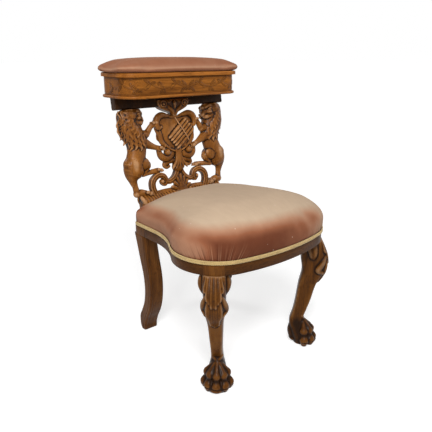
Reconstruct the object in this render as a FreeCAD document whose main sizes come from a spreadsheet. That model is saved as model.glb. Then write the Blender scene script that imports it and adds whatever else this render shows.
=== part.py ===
import FreeCAD, Part
import Sketcher
import math
import os
from FreeCAD import Placement, Rotation, Vector

# Smoking chair: shaped padded seat, carved lion back and a lidded tobacco box on top.
# Millimetres, +Z up, the chair's front towards -Y, the floor at Z = 0.

doc = FreeCAD.newDocument("smoking_chair")
sheet = doc.addObject("Spreadsheet::Sheet", "sizes")

# Driving sizes, in millimetres and degrees
driving_sizes = {
    # seat frame in plan
    "seat_front": 290,
    "front_bow_radius": 629,
    "corner_radius": 125,
    "seat_half_width": 243,
    "waist_radius": 250,
    "rear_half_width": 187,
    "rear_corner_radius": 40,
    "frame_rear": 178,
    # seat rails
    "rail_bottom": 343,
    "rail_height": 57,
    "rail_thickness": 26,
    "tenon_thickness": 9,
    "tenon_length": 16,
    "tenon_shoulder": 10,
    # legs
    "leg_inset": 27,
    "front_post_width": 54,
    "front_post_depth": 50,
    "front_leg_sway": 6,
    "rear_leg_width": 48,
    "rear_leg_lean": 19,
    "rear_post_depth": 78,
    # seat upholstery
    "cover_line": 32,
    "cover_thickness": 2.2,
    "pad_gap": 0.3,
    "pad_height": 75,
    "pad_tilt": 4.5,
    "pad_bulge": 8,
    "pad_corner_radius": 8,
    "pad_rear_gap": 1.5,
    "webbing_width": 50,
    "webbing_thickness": 2,
    "webbing_margin": 6,
    "hessian_thickness": 1,
    "gimp_width": 12,
    "gimp_thickness": 2.2,
    "glue_line": 0.7,
    # glue blocks and their screws
    "block_height": 40,
    "block_depth": 32,
    "block_screw_radius": 2,
    "block_screw_head": 4,
    "block_screw_length": 30,
    # carved back
    "back_height": 340.5,
    "back_rake": 8.9,
    "back_half_width": 202,
    "base_rail_height": 44,
    "base_rail_half_width": 152,
    "top_rail_height": 36,
    "back_rail_thickness": 26,
    "drop_height": 20,
    "drop_half_width": 50,
    "dowel_radius": 3.5,
    "dowel_depth": 9,
    # tobacco box
    "box_half_width": 207,
    "box_front": 122,
    "box_rear": 293,
    "box_corner_radius": 54,
    "box_wall": 14,
    "box_wall_height": 50.5,
    "box_bottom_thickness": 8,
    "bottom_overhang": 5,
    "tongue_length": 6,
    "tongue_thickness": 5,
    "box_screw_radius": 2,
    "box_screw_head": 4,
    "box_screw_length": 26,
    # lid and its pad
    "lid_thickness": 11,
    "lid_overhang": 5,
    "lid_corner_radius": 48,
    "lid_gap": 0.4,
    "edge_rounding": 3.5,
    "lid_pad_height": 39.6,
    "lid_pad_inset": 4,
    "lid_pad_bulge": 8,
    # butt hinges
    "pin_inset": 3,
    "bevel_angle": 52,
    "hinge_length": 50,
    "hinge_offset": 105,
    "leaf_depth": 9.5,
    "leaf_thickness": 1.4,
    "leaf_gap": 0.1,
    "knuckle_radius": 3.2,
    "knuckle_length": 17,
    "knuckle_gap": 0.4,
    "knuckle_space": 0.8,
    "pin_radius": 1.5,
    "pin_clearance": 0.06,
    "hinge_screw_radius": 1.2,
    "hinge_screw_head": 2.3,
    "hinge_screw_length": 9,
    "hinge_screw_spacing": 17,
}
for row, (alias, number) in enumerate(driving_sizes.items(), start=1):
    sheet.set("A%d" % row, alias)
    sheet.set("B%d" % row, str(number))
    sheet.setAlias("B%d" % row, alias)
doc.recompute()


def size(alias):
    return float(sheet.get(alias))


def feature(label, shape):
    """A piece whose shape is drawn in code from the sheet's sizes."""
    item = doc.addObject("Part::Feature", label)
    item.Label = label
    item.Shape = shape
    return item


def primitive(kind, name, place, turn=None, **lengths):
    """A box or cylinder whose sizes and place are formulas on the sheet."""
    item = doc.addObject(kind, name)
    for length, formula in lengths.items():
        item.setExpression(length, formula)
    if turn:
        direction, angle = turn
        item.Placement = Placement(Vector(0, 0, 0), Rotation(direction, 1))
        item.setExpression("Placement.Rotation.Angle", angle)
    for axis, formula in zip("xyz", place):
        item.setExpression("Placement.Base." + axis, formula)
    return item


def fuse(name, parts):
    item = doc.addObject("Part::MultiFuse", name)
    item.Shapes = parts
    item.Refine = True
    return item


def cut(name, base, tool):
    item = doc.addObject("Part::Cut", name)
    item.Base = base
    item.Tool = tool
    item.Refine = True
    return item


def common(name, base, tool):
    item = doc.addObject("Part::Common", name)
    item.Base = base
    item.Tool = tool
    return item


def arc(cx, cy, z, radius, start, end):
    """Arc in a level plane between two angles in radians."""
    ends = [start, (start + end) / 2, end]
    points = [Vector(cx + radius * math.cos(a), cy + radius * math.sin(a), z) for a in ends]
    return Part.Arc(*points).toShape()


def line(a, b):
    return Part.LineSegment(a, b).toShape()


def loft(wires):
    """Smooth solid through closed wires."""
    return Part.makeLoft(wires, True, False, False, 2)


def join(parts):
    """One solid from parts that overlap, added one after another."""
    whole = parts[0]
    for part in parts[1:]:
        whole = whole.fuse(part)
    return whole


def other_hand(shape):
    """The same piece for the chair's other side."""
    return shape.mirror(Vector(0, 0, 0), Vector(1, 0, 0))


def screw(head_radius, shank_radius, length, place):
    """Countersunk screw, its flat head at the placement's origin and its shank along -Z."""
    head_depth = head_radius - shank_radius
    shank = Part.makeCylinder(shank_radius, length, Vector(0, 0, -length))
    head = Part.makeCone(shank_radius, head_radius, head_depth, Vector(0, 0, -head_depth))
    whole = shank.fuse(head).removeSplitter()
    whole.Placement = place
    return whole


# Heights shared by several pieces
rail_bottom = size("rail_bottom")
rail_top = rail_bottom + size("rail_height")
cover_edge = rail_bottom + size("cover_line")
box_level = rail_top + size("back_height")
frame_rear = size("frame_rear")
rail_thickness = size("rail_thickness")
pad_rear = frame_rear - rail_thickness - size("pad_rear_gap")

# Seat outline: front bow, two belly corners, two hollow waists, straight sides and a straight rear
bow_radius = size("front_bow_radius")
corner_radius = size("corner_radius")
waist_radius = size("waist_radius")
rear_half_width = size("rear_half_width")
corner_x = size("seat_half_width") - corner_radius
bow_centre_y = bow_radius - size("seat_front")
corner_y = bow_centre_y - math.sqrt((bow_radius - corner_radius) ** 2 - corner_x ** 2)
bow_angle = math.asin(corner_x / (bow_radius - corner_radius))
waist_x = rear_half_width + waist_radius
waist_angle = math.acos((waist_x - corner_x) / (corner_radius + waist_radius))
waist_y = corner_y + (corner_radius + waist_radius) * math.sin(waist_angle)


def seat_wire(inset, z, rear, rear_radius):
    """The seat outline drawn in by an inset, at one height, closed by its own rear line."""
    half = rear_half_width - inset
    rear = max(rear, waist_y + rear_radius + 4)
    down = 1.5 * math.pi
    corner = corner_radius - inset
    waist = waist_radius + inset
    side = rear - rear_radius
    edges = [
        arc(rear_radius - half, side, z, rear_radius, math.pi / 2, math.pi),
        line(Vector(-half, side, z), Vector(-half, waist_y, z)),
        arc(-waist_x, waist_y, z, waist, 0, -waist_angle),
        arc(-corner_x, corner_y, z, corner, math.pi - waist_angle, down - bow_angle),
        arc(0, bow_centre_y, z, bow_radius - inset, down - bow_angle, down + bow_angle),
        arc(corner_x, corner_y, z, corner, down + bow_angle, 2 * math.pi + waist_angle),
        arc(waist_x, waist_y, z, waist, math.pi + waist_angle, math.pi),
        line(Vector(half, waist_y, z), Vector(half, side, z)),
        arc(half - rear_radius, side, z, rear_radius, 0, math.pi / 2),
        line(Vector(half - rear_radius, rear, z), Vector(rear_radius - half, rear, z)),
    ]
    return Part.Wire(edges)


def seat_prism(inset, bottom, top, rear, rear_radius):
    face = Part.Face(seat_wire(inset, bottom, rear, rear_radius))
    return face.extrude(Vector(0, 0, top - bottom))


# Seat frame blank: full outline below the cover's edge and behind the pad, a rebate for the cover above it
rear_corner_radius = size("rear_corner_radius")
cover_thickness = size("cover_thickness")
rebate = cover_thickness + size("pad_gap")
wide = 2 * size("seat_half_width") + 200
behind_pad = Part.makeBox(wide, 200, size("rail_height"), Vector(-wide / 2, pad_rear, rail_bottom))
frame_whole = seat_prism(0, rail_bottom, rail_top, frame_rear, rear_corner_radius)
frame_blank = seat_prism(0, rail_bottom, cover_edge, frame_rear, rear_corner_radius).fuse([
    seat_prism(rebate, cover_edge, rail_top, frame_rear, rear_corner_radius - rebate),
    frame_whole.common(behind_pad),
]).removeSplitter()

# Posts at the four corners: the front pair stands on the diagonals
front_post_depth = size("front_post_depth")
front_post_width = size("front_post_width")
leg_inset = size("leg_inset")
rear_leg_width = size("rear_leg_width")
rear_post_front = frame_rear - size("rear_post_depth")
post_height = size("rail_height")


def front_leg_place(side):
    """Frame of a front leg: its own X points outward along the seat corner's diagonal."""
    angle = math.radians(270 + 45 * side)
    reach = corner_radius - leg_inset
    axis = Vector(side * corner_x + reach * math.cos(angle), corner_y + reach * math.sin(angle), 0)
    return Placement(axis, Rotation(Vector(0, 0, 1), math.degrees(angle)))


def front_post_box(side):
    inner = leg_inset - front_post_depth
    box = Part.makeBox(front_post_depth + 40, front_post_width, post_height,
                       Vector(inner, -front_post_width / 2, rail_bottom))
    box.Placement = front_leg_place(side)
    return box


def rear_post_box(side):
    inner = rear_half_width - rear_leg_width
    left = inner if side > 0 else -inner - rear_leg_width - 40
    return Part.makeBox(rear_leg_width + 40, size("rear_post_depth") + 40, post_height,
                        Vector(left, rear_post_front, rail_bottom))


# Tenons of the rails, also the shape of the mortises that take them
tenon_thickness = size("tenon_thickness")
tenon_length = size("tenon_length")
tenon_bottom = rail_bottom + size("tenon_shoulder")
tenon_height = post_height - 2 * size("tenon_shoulder")
tenon_root = 6


def front_tenon(side, face):
    """Tenon that enters a front post through the face on one side of its diagonal."""
    middle = leg_inset - rail_thickness / 2 - 3
    start = front_post_width / 2 - tenon_length if face > 0 else -front_post_width / 2 - tenon_root
    tenon = Part.makeBox(tenon_thickness, tenon_length + tenon_root, tenon_height,
                         Vector(middle - tenon_thickness / 2, start, tenon_bottom))
    tenon.Placement = front_leg_place(side)
    return tenon


def side_rear_tenon(side):
    middle = side * (rear_half_width - rail_thickness / 2)
    return Part.makeBox(tenon_thickness, tenon_length + tenon_root, tenon_height,
                        Vector(middle - tenon_thickness / 2, rear_post_front - tenon_root, tenon_bottom))


def rear_rail_tenon(side):
    inner = rear_half_width - rear_leg_width
    left = inner - tenon_root if side > 0 else -inner - tenon_length
    return Part.makeBox(tenon_length + tenon_root, tenon_thickness, tenon_height,
                        Vector(left, frame_rear - (rail_thickness + tenon_thickness) / 2, tenon_bottom))


# Seat rails: the frame ring, parted by the posts, with a tenon at each end
inner_radius = max(rear_corner_radius - rail_thickness, 6)
inside = seat_prism(rail_thickness, rail_bottom - 1, rail_top + 1, frame_rear - rail_thickness,
                    inner_radius)
post_boxes = [front_post_box(-1), front_post_box(1), rear_post_box(-1), rear_post_box(1)]
rails = frame_blank.cut(inside).cut(post_boxes).Solids
front_rail = min(rails, key=lambda s: s.CenterOfMass.y)
rear_rail = max(rails, key=lambda s: s.CenterOfMass.y)
left_rail = min(rails, key=lambda s: s.CenterOfMass.x)
front_rail = front_rail.fuse([front_tenon(-1, 1), front_tenon(1, -1)]).removeSplitter()
left_rail = left_rail.fuse([front_tenon(-1, -1), side_rear_tenon(-1)]).removeSplitter()
rear_rail = rear_rail.fuse([rear_rail_tenon(-1), rear_rail_tenon(1)]).removeSplitter()
right_rail = other_hand(left_rail)


def level_section(place, z, centre, depth, width, radius, aside=0):
    """Round-cornered rectangle in a level plane of a piece's own frame."""
    radius = min(radius, 0.98 * depth, 0.98 * width)
    long = depth - radius
    short = width - radius
    right_angle = math.pi / 2
    edges = []
    for quarter, (a, b) in enumerate([(1, 1), (-1, 1), (-1, -1), (1, -1)]):
        edges.append(arc(centre + a * long, aside + b * short, z, radius,
                         quarter * right_angle, (quarter + 1) * right_angle))
    corners = [(edges[i].lastVertex().Point, edges[(i + 1) % 4].firstVertex().Point) for i in range(4)]
    ordered = []
    for bend, (a, b) in zip(edges, corners):
        ordered += [bend, line(a, b)]
    wire = Part.Wire(ordered)
    wire.Placement = place
    return wire


front_leg_sway = size("front_leg_sway")


def toe(place, angle):
    """One toe of the paw: rises to a knuckle and bends down to a blunt tip on the floor."""
    steps = [(-14, 46, 9), (4, 44, 12), (20, 36, 13.5), (32, 19, 12.5), (38, 8, 8)]
    wires = []
    for reach, z, radius in steps:
        centre = Vector(-12 + reach * math.cos(angle), front_leg_sway + reach * math.sin(angle), z)
        lean = math.radians(10 + 70 * max(0, reach) / 38)
        normal = Vector(math.cos(angle) * math.cos(lean), math.sin(angle) * math.cos(lean), -math.sin(lean))
        wires.append(Part.Wire(Part.Circle(centre, normal, radius).toShape()))
    whole = loft(wires)
    whole.Placement = place
    return whole


def front_leg(side):
    """Cabriole leg: post, wide knee under the rails, S-curved shank, ankle and paw, all one block."""
    place = front_leg_place(side)
    post = frame_blank.common(front_post_box(side))
    inner = leg_inset - front_post_depth
    # share of the leg's height, centre outward, half depth, half width and corner of each section
    stations = [
        (1.00, (leg_inset + inner) / 2, front_post_depth / 2, 30, 10),
        (0.92, 7, 34, 35, 16),
        (0.83, 11, 41, 34, 22),
        (0.71, 11, 36, 31, 22),
        (0.58, -5, 27, 21, 17),
        (0.43, -15, 22.5, 17.5, 14),
        (0.32, -24, 20, 16, 13),
        (0.225, -33, 21, 18.5, 15),
        (0.15, -26, 27, 26, 19),
        (0.07, -9, 36, 34, 22),
        (0.00, -7, 34, 31, 22),
    ]
    sections = [level_section(place, share * rail_bottom, *shape, front_leg_sway * (1 - share))
                for share, *shape in stations]
    shank = loft(sections)
    toes = [toe(place, math.radians(turn)) for turn in (-76, -38, 0, 38, 76)]
    floor = Part.makeBox(wide, wide, 100, Vector(-wide / 2, -wide / 2, -100))
    leg = join([shank] + toes).cut(floor).fuse(post).removeSplitter()
    return leg.cut([front_tenon(side, 1), front_tenon(side, -1)])


def rear_leg(side):
    """Sabre leg: leans inward to a foot that is kicked to the rear."""
    # share of the leg's height, front and rear faces behind the post's front, rounding of the edges
    stations = [
        (1.00, 0, 70, 20),
        (0.90, 0, 59, 15),
        (0.75, -1, 44, 10),
        (0.60, -6, 33, 8),
        (0.45, -3, 34, 8),
        (0.32, 7, 45, 8),
        (0.22, 22, 63, 8),
        (0.145, 37, 79, 9),
        (0.065, 49, 83, 9),
        (0.00, 52, 78, 9),
    ]
    quarter_turn = Placement(Vector(0, rear_post_front, 0), Rotation(Vector(0, 0, 1), 90))
    sections = []
    for share, front, rear, radius in stations:
        aside = side * (rear_half_width - rear_leg_width / 2 - (1 - share) * size("rear_leg_lean"))
        sections.append(level_section(quarter_turn, share * rail_bottom, (front + rear) / 2,
                                      (rear - front) / 2, rear_leg_width / 2, radius, -aside))
    post = frame_blank.common(rear_post_box(side))
    leg = loft(sections).fuse(post).removeSplitter()
    return leg.cut([side_rear_tenon(side), rear_rail_tenon(side)])


left_legs = {"front_left_leg": front_leg(-1), "rear_left_leg": rear_leg(-1)}

# Glue blocks fill the corners behind the posts, two screws through each into the wood behind
block_height = size("block_height")
block_depth = size("block_depth")
block_bottom = rail_bottom + (post_height - block_height) / 2
blocks = []
block_screws = []
screw_sizes = (size("block_screw_head"), size("block_screw_radius"), size("block_screw_length"))
for side in (-1, 1):
    place = front_leg_place(side)
    inner = leg_inset - front_post_depth
    slab = Part.makeBox(block_depth, 300, block_height, Vector(inner - block_depth, -150, block_bottom))
    slab.Placement = place
    blocks.append(slab.common(inside))
    for lift in (-1, 1):
        head = Vector(inner - block_depth, 0, block_bottom + block_height / 2 + lift * block_height / 4)
        aim = place.multiply(Placement(head, Rotation(Vector(0, 0, -1), Vector(1, 0, 0))))
        block_screws.append(screw(*screw_sizes, aim))
    edge = side * (rear_half_width - rear_leg_width)
    back = frame_rear - rail_thickness
    reach = block_depth + 10
    triangle = Part.makePolygon([
        Vector(edge, back, block_bottom), Vector(edge - side * reach, back, block_bottom),
        Vector(edge, back - reach, block_bottom), Vector(edge, back, block_bottom)])
    blocks.append(Part.Face(triangle).extrude(Vector(0, 0, block_height)))
    for lift in (-1, 1):
        level = block_bottom + block_height / 2 + lift * block_height / 4
        head = Vector(edge - side * reach / 2, back - reach / 2, level)
        aim = Placement(head, Rotation(Vector(0, 0, -1), Vector(side, 1, 0)))
        block_screws.append(screw(*screw_sizes, aim))
blocks = [block.cut(block_screws) for block in blocks]
legs = {label: leg.cut(block_screws) for label, leg in left_legs.items()}
for label in left_legs:
    legs[label.replace("left", "right")] = other_hand(legs[label])
rear_rail = rear_rail.cut(block_screws)

# Seat webbing: strips across, then strips lengthwise, trimmed to the rail tops
webbing_width = size("webbing_width")
webbing_thickness = size("webbing_thickness")
webbing_margin = size("webbing_margin")
webbing_limit = seat_prism(webbing_margin, rail_top, rail_top + 20, pad_rear - webbing_margin, 6)


def webbing(count, first, last, level, along_y):
    strips = []
    for place in range(count):
        middle = first + (last - first) * place / (count - 1)
        start = middle - webbing_width / 2
        if along_y:
            strip = Part.makeBox(webbing_width, 800, webbing_thickness, Vector(start, -500, level))
        else:
            strip = Part.makeBox(800, webbing_width, webbing_thickness, Vector(-400, start, level))
        strips.append(strip.common(webbing_limit))
    return Part.makeCompound(strips)


across = webbing(4, -size("seat_front") + 90, pad_rear - 60, rail_top, False)
second_layer = rail_top + webbing_thickness
lengthwise = webbing(4, -rear_half_width + 75, rear_half_width - 75, second_layer, True)
hessian_level = second_layer + webbing_thickness
stuffing_level = hessian_level + size("hessian_thickness")
hessian = seat_prism(webbing_margin, hessian_level, stuffing_level, pad_rear - webbing_margin, 6)

# Seat pad: sides swell above the rails, then draw in to a low crown that falls to the rear
pad_bulge = size("pad_bulge")
pad_height = size("pad_height")
pad_corner_radius = size("pad_corner_radius")
pad_pivot = (pad_rear - size("seat_front")) / 2


def seat_pad(shrink):
    """Loft of the pad drawn in by a thickness: a nearly straight skirt, then the swell and the crown."""
    skirt_top = cover_edge + size("gimp_width") + 4
    # share of the pad's height above the rails, inset of the outline
    stations = [(0.09, -0.5 * pad_bulge), (0.29, -pad_bulge), (0.47, -0.75 * pad_bulge), (0.65, 7),
                (0.81, 34), (0.93, 74), (1, 116)]
    levels = [(cover_edge, 0, 0), (skirt_top, -0.13 * pad_bulge, 0)]
    levels += [(rail_top + share * (pad_height - shrink), inset, share) for share, inset in stations]
    wires = []
    for z, inset, share in levels:
        rear = pad_rear - shrink - 0.55 * max(inset, 0)
        radius = max(pad_corner_radius - shrink, 4) + max(inset, 0) / 4
        wire = seat_wire(inset + shrink, z, rear, radius)
        wire.rotate(Vector(0, pad_pivot, z), Vector(1, 0, 0), -share * size("pad_tilt"))
        wires.append(wire)
    return loft(wires)


def base_face(solid):
    return min(solid.Faces, key=lambda face: face.BoundBox.ZMax)


def skin(outer, inner):
    """Skin between two lofts that stand on one level, closed by the ring between their bases."""
    base = base_face(outer)
    hollow = base_face(inner)
    faces = [face for face in outer.Faces if not face.isSame(base)]
    faces += [face for face in inner.Faces if not face.isSame(hollow)]
    ring = Part.Face([base.OuterWire, hollow.OuterWire])
    whole = Part.Solid(Part.Shell(faces + [ring]))
    whole.fix(0.001, 0.001, 0.001)
    return whole


# Stuffing on the hessian, and the velvet over it; behind the pad the velvet ends on the rail tops
below_stuffing = Part.makeBox(wide, 800, 100, Vector(-wide / 2, -500, stuffing_level - 100))
stuffing = seat_pad(rebate).cut(below_stuffing)
skirt_end = pad_rear - pad_corner_radius
behind_skirt = Part.makeBox(wide, 200, 100, Vector(-wide / 2, skirt_end, rail_top - 100))
cover = skin(seat_pad(0), seat_pad(cover_thickness)).cut(behind_skirt)

# Gimp: a braid round the front and sides, over the cover's raw edge
gimp_bottom = cover_edge - size("gimp_width") / 4
gimp_top = gimp_bottom + size("gimp_width")
glue_line = size("glue_line")
gimp_face = glue_line + size("gimp_thickness")
gimp_outer = seat_prism(-gimp_face, gimp_bottom, gimp_top, frame_rear, rear_corner_radius)
gimp_inner = seat_prism(-glue_line, gimp_bottom, gimp_top, frame_rear, rear_corner_radius)
gimp = gimp_outer.cut(gimp_inner)
gimp = gimp.cut(Part.makeBox(wide, 200, 100, Vector(-wide / 2, skirt_end, gimp_bottom - 10)))

# Carved back, drawn upright in its own frame (X across, -Y to the front, Z up) and leaned back as one
rake = math.radians(size("back_rake"))
back_place = Placement(Vector(0, frame_rear - rail_thickness / 2, rail_top),
                       Rotation(Vector(1, 0, 0), -size("back_rake")))
back_rail_thickness = size("back_rail_thickness")
base_top = size("base_rail_height")
back_total = size("back_height") / math.cos(rake)
opening_top = back_total - size("top_rail_height")
opening = opening_top - base_top
back_half_width = size("back_half_width")
dowel_radius = size("dowel_radius")
dowel_depth = size("dowel_depth")


def grid(across_share, up_share, front=0):
    """A point of the carver's grid: shares of the half width and of the opening's height."""
    return Vector(across_share * back_half_width, front, base_top + up_share * opening)


def limb(steps, flat=0.8, front=0):
    """Rounded limb through grid points, each with its radius, a little flatter from front to rear."""
    points = [grid(across_share, up_share, front) for across_share, up_share, radius in steps]
    radii = [radius for across_share, up_share, radius in steps]
    first = (points[0] - points[1]).normalize()
    last = (points[-1] - points[-2]).normalize()
    points = [points[0] + first * 0.6 * radii[0]] + points + [points[-1] + last * 0.6 * radii[-1]]
    radii = [0.55 * radii[0]] + radii + [0.55 * radii[-1]]
    wires = []
    for i, (point, radius) in enumerate(zip(points, radii)):
        along = points[min(i + 1, len(points) - 1)] - points[max(i - 1, 0)]
        sideways = along.cross(Vector(0, 1, 0)).normalize()
        ring = Part.Ellipse(point + sideways * radius, point + Vector(0, flat * radius, 0), point)
        wires.append(Part.Wire(ring.toShape()))
    return loft(wires)


# The carved lion: a rampant supporter, each limb a rounded form between its joints
lion_limbs = [
    # body from hip to poll, with the mane behind the neck
    limb([(0.80, 0.33, 33), (0.74, 0.45, 31), (0.70, 0.56, 30), (0.71, 0.67, 33), (0.77, 0.78, 36),
          (0.79, 0.92, 33)], 0.75),
    # head, from skull to nose, and jaw
    limb([(0.76, 0.92, 27), (0.68, 0.90, 22), (0.62, 0.85, 15), (0.585, 0.82, 11)], 0.95, -6),
    limb([(0.70, 0.82, 14), (0.64, 0.775, 8)], 0.95, -6),
    # foreleg to the shield's ear
    limb([(0.64, 0.70, 20), (0.53, 0.71, 12)], 0.9, -3),
    limb([(0.535, 0.71, 11), (0.45, 0.795, 8.5), (0.36, 0.815, 10.5)], 0.9, -3),
    # foreleg to the shield's foot
    limb([(0.61, 0.63, 20), (0.50, 0.58, 12), (0.37, 0.54, 8.5), (0.29, 0.515, 11)], 0.9, -3),
    # standing hind leg and foot
    limb([(0.81, 0.36, 33), (0.84, 0.26, 23), (0.825, 0.175, 11)], 0.8),
    limb([(0.82, 0.20, 11), (0.795, 0.07, 11)], 0.9),
    limb([(0.80, 0.045, 12), (0.70, 0.045, 13), (0.59, 0.02, 10)], 0.95),
    # raised hind leg and foot
    limb([(0.74, 0.40, 29), (0.58, 0.36, 17)], 0.85),
    limb([(0.57, 0.355, 15), (0.65, 0.265, 9.5)], 0.9),
    limb([(0.66, 0.265, 9), (0.52, 0.272, 8.5), (0.38, 0.272, 9.5), (0.27, 0.262, 8)], 0.95),
]
clip = Part.makeBox(2 * wide, 200, opening, Vector(-wide, -100, base_top))
lion = join(lion_limbs).common(clip)


def shield_wire(scale, front):
    """Shield outline: hollow top, two ears, sides curving in to a foot."""
    middle = 0.67

    def at(across_share, up_share):
        point = grid(scale * across_share, middle + scale * (up_share - middle))
        return Vector(point.x, front, point.z)

    right = [at(0, 0.94), at(0.15, 0.945), at(0.29, 0.95), at(0.365, 0.80), at(0.31, 0.66), at(0.25, 0.56),
             at(0, 0.45)]
    mirror = [Vector(-p.x, p.y, p.z) for p in right]
    arcs = [
        Part.Arc(right[0], right[1], right[2]),
        Part.Arc(right[2], at(0.362, 0.865), right[3]),
        Part.Arc(right[3], at(0.325, 0.73), right[4]),
        Part.Arc(right[4], at(0.30, 0.60), right[5]),
        Part.Arc(right[5], at(0.15, 0.485), right[6]),
        Part.Arc(mirror[6], Vector(-at(0.15, 0.485).x, front, at(0.15, 0.485).z), mirror[5]),
        Part.Arc(mirror[5], Vector(-at(0.30, 0.60).x, front, at(0.30, 0.60).z), mirror[4]),
        Part.Arc(mirror[4], Vector(-at(0.325, 0.73).x, front, at(0.325, 0.73).z), mirror[3]),
        Part.Arc(mirror[3], Vector(-at(0.362, 0.865).x, front, at(0.362, 0.865).z), mirror[2]),
        Part.Arc(mirror[2], mirror[1], mirror[0]),
    ]
    return Part.Wire([bend.toShape() for bend in arcs])


shield_steps = [(0.95, 10), (1.0, -2), (0.97, -11), (0.86, -17), (0.60, -20)]
shield = loft([shield_wire(scale, front) for scale, front in shield_steps])

# Cigars lie side by side over the shield, with one thin tie across them
cigars = []
slope = math.radians(38)
along = Vector(math.cos(slope), 0, math.sin(slope))
aside = Vector(-math.sin(slope), 0, math.cos(slope))
bundle = grid(0.075, 0.675, -21)
for place in range(-2, 3):
    ends = [(-46, 3), (-40, 4.6), (0, 5.2), (40, 4.6), (46, 3)]
    centre = bundle + aside * (10.8 * place)
    rings = [Part.Circle(centre + along * reach, along, radius) for reach, radius in ends]
    cigars.append(loft([Part.Wire(ring.toShape()) for ring in rings]))
tie = Part.makeBox(5, 6, 58, Vector(-2.5, -3, -29))
tie.Placement = Placement(bundle + along * 8 + Vector(0, -3.5, 0),
                          Rotation(Vector(0, 1, 0), -math.degrees(slope)))

# Stem with its scrolls and leaves below the shield
stem_limbs = [
    limb([(0, 0.56, 24), (0, 0.43, 17), (0, 0.34, 17), (0, 0.27, 22), (0, 0.20, 16)], 0.8),
    limb([(0, 0.22, 15), (0, 0.10, 26), (0, -0.02, 34)], 0.55),
]
for side in (-1, 1):
    stem_limbs += [
        limb([(side * 0.13, 0.53, 16), (side * 0.22, 0.44, 20), (side * 0.27, 0.43, 14)], 0.9, -2),
        limb([(side * 0.05, 0.32, 10), (side * 0.18, 0.325, 8), (side * 0.26, 0.335, 10)], 0.9),
        limb([(side * 0.46, -0.02, 9), (side * 0.52, 0.09, 9), (side * 0.50, 0.17, 9),
              (side * 0.41, 0.215, 9), (side * 0.31, 0.205, 9), (side * 0.255, 0.15, 9),
              (side * 0.28, 0.115, 9)], 0.95),
        limb([(side * 0.02, 0.06, 14), (side * 0.13, 0.11, 12), (side * 0.22, 0.12, 9),
              (side * 0.27, 0.125, 8)], 0.7),
        limb([(side * 0.10, 0.01, 14), (side * 0.32, 0.015, 12), (side * 0.46, 0.01, 10)], 0.8),
    ]
drop_level = opening_top - size("drop_height")
below_drop = Part.makeBox(2 * wide, 200, drop_level - base_top, Vector(-wide, -100, base_top))
shield_stem = join([shield] + cigars + [tie] + stem_limbs).common(below_drop)
left_lion = other_hand(lion).cut(shield_stem)
right_lion = lion.cut(shield_stem)

# Rails of the back: the base stands on the rear seat rail, the top carries the box and a carved drop
base_half_width = size("base_rail_half_width")
drop_half_width = size("drop_half_width")
base_rail = Part.makeBox(2 * base_half_width, back_rail_thickness, base_top + 12,
                         Vector(-base_half_width, -back_rail_thickness / 2, -12))
top_rail = Part.makeBox(2 * back_half_width, back_rail_thickness, back_total - opening_top + 12,
                        Vector(-back_half_width, -back_rail_thickness / 2, opening_top))
drop_front = -16
drop_side = [Vector(drop_half_width / 2, drop_front, drop_level),
             Vector(drop_half_width, drop_front, opening_top - 4),
             Vector(drop_half_width + 14, drop_front, opening_top + 6)]
drop_mirror = [Vector(-p.x, p.y, p.z) for p in drop_side]
drop_edges = [Part.Arc(*drop_side).toShape(), line(drop_side[2], drop_mirror[2]),
              Part.Arc(*reversed(drop_mirror)).toShape(), line(drop_mirror[0], drop_side[0])]
drop = Part.Face(Part.Wire(drop_edges)).extrude(Vector(0, back_rail_thickness, 0))
top_rail = top_rail.fuse(drop).removeSplitter()

dowel_seats = [(-0.70, base_top), (0, base_top), (0.70, base_top), (-0.79, opening_top),
               (0.79, opening_top), (0, drop_level)]
dowel_starts = [Vector(share * back_half_width, 0, level - dowel_depth) for share, level in dowel_seats]
dowels = [Part.makeCylinder(dowel_radius, 2 * dowel_depth, start) for start in dowel_starts]
carved = {"left_lion": left_lion, "right_lion": right_lion, "shield_stem": shield_stem,
          "back_base_rail": base_rail, "back_top_rail": top_rail}
carved = {label: shape.cut(dowels) for label, shape in carved.items()}
for shape in list(carved.values()) + dowels:
    shape.Placement = back_place.multiply(shape.Placement)

under_rail = Part.makeBox(wide, 400, 100, Vector(-wide / 2, 0, rail_top - 100))
over_rail = Part.makeBox(wide, 400, 100, Vector(-wide / 2, 0, box_level))
foot_dowels = [Part.makeCylinder(dowel_radius, 2 * dowel_depth,
                                 Vector(side * 0.6 * base_half_width, frame_rear - rail_thickness / 2,
                                        rail_top - dowel_depth)) for side in (-1, 1)]
dowels += foot_dowels
carved["back_base_rail"] = carved["back_base_rail"].cut(under_rail).cut(foot_dowels)
carved["back_top_rail"] = carved["back_top_rail"].cut(over_rail)
rear_rail = rear_rail.cut(foot_dowels)

# Screws that hold the box bottom down on the top rail
box_screw_y = frame_rear - rail_thickness / 2 + math.tan(rake) * (size("back_height") - 10)
box_screws = []
for share in (-0.7, 0, 0.7):
    seat = Vector(share * back_half_width, box_screw_y, box_level + size("box_bottom_thickness"))
    box_screws.append(screw(size("box_screw_head"), size("box_screw_radius"), size("box_screw_length"),
                            Placement(seat, Rotation())))
carved["back_top_rail"] = carved["back_top_rail"].cut(box_screws)

for label, shape in [("front_rail", front_rail), ("left_rail", left_rail), ("right_rail", right_rail),
                     ("rear_rail", rear_rail)] + list(legs.items()) + list(carved.items()):
    feature(label, shape)
feature("corner_blocks", Part.makeCompound(blocks))
feature("block_screws", Part.makeCompound(block_screws))
feature("webbing_across", across)
feature("webbing_lengthwise", lengthwise)
feature("seat_hessian", hessian)
feature("seat_stuffing", stuffing)
feature("seat_cover", cover)
feature("seat_gimp", gimp)
feature("back_dowels", Part.makeCompound(dowels))
box_screw_group = feature("box_screws", Part.makeCompound(box_screws))


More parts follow.
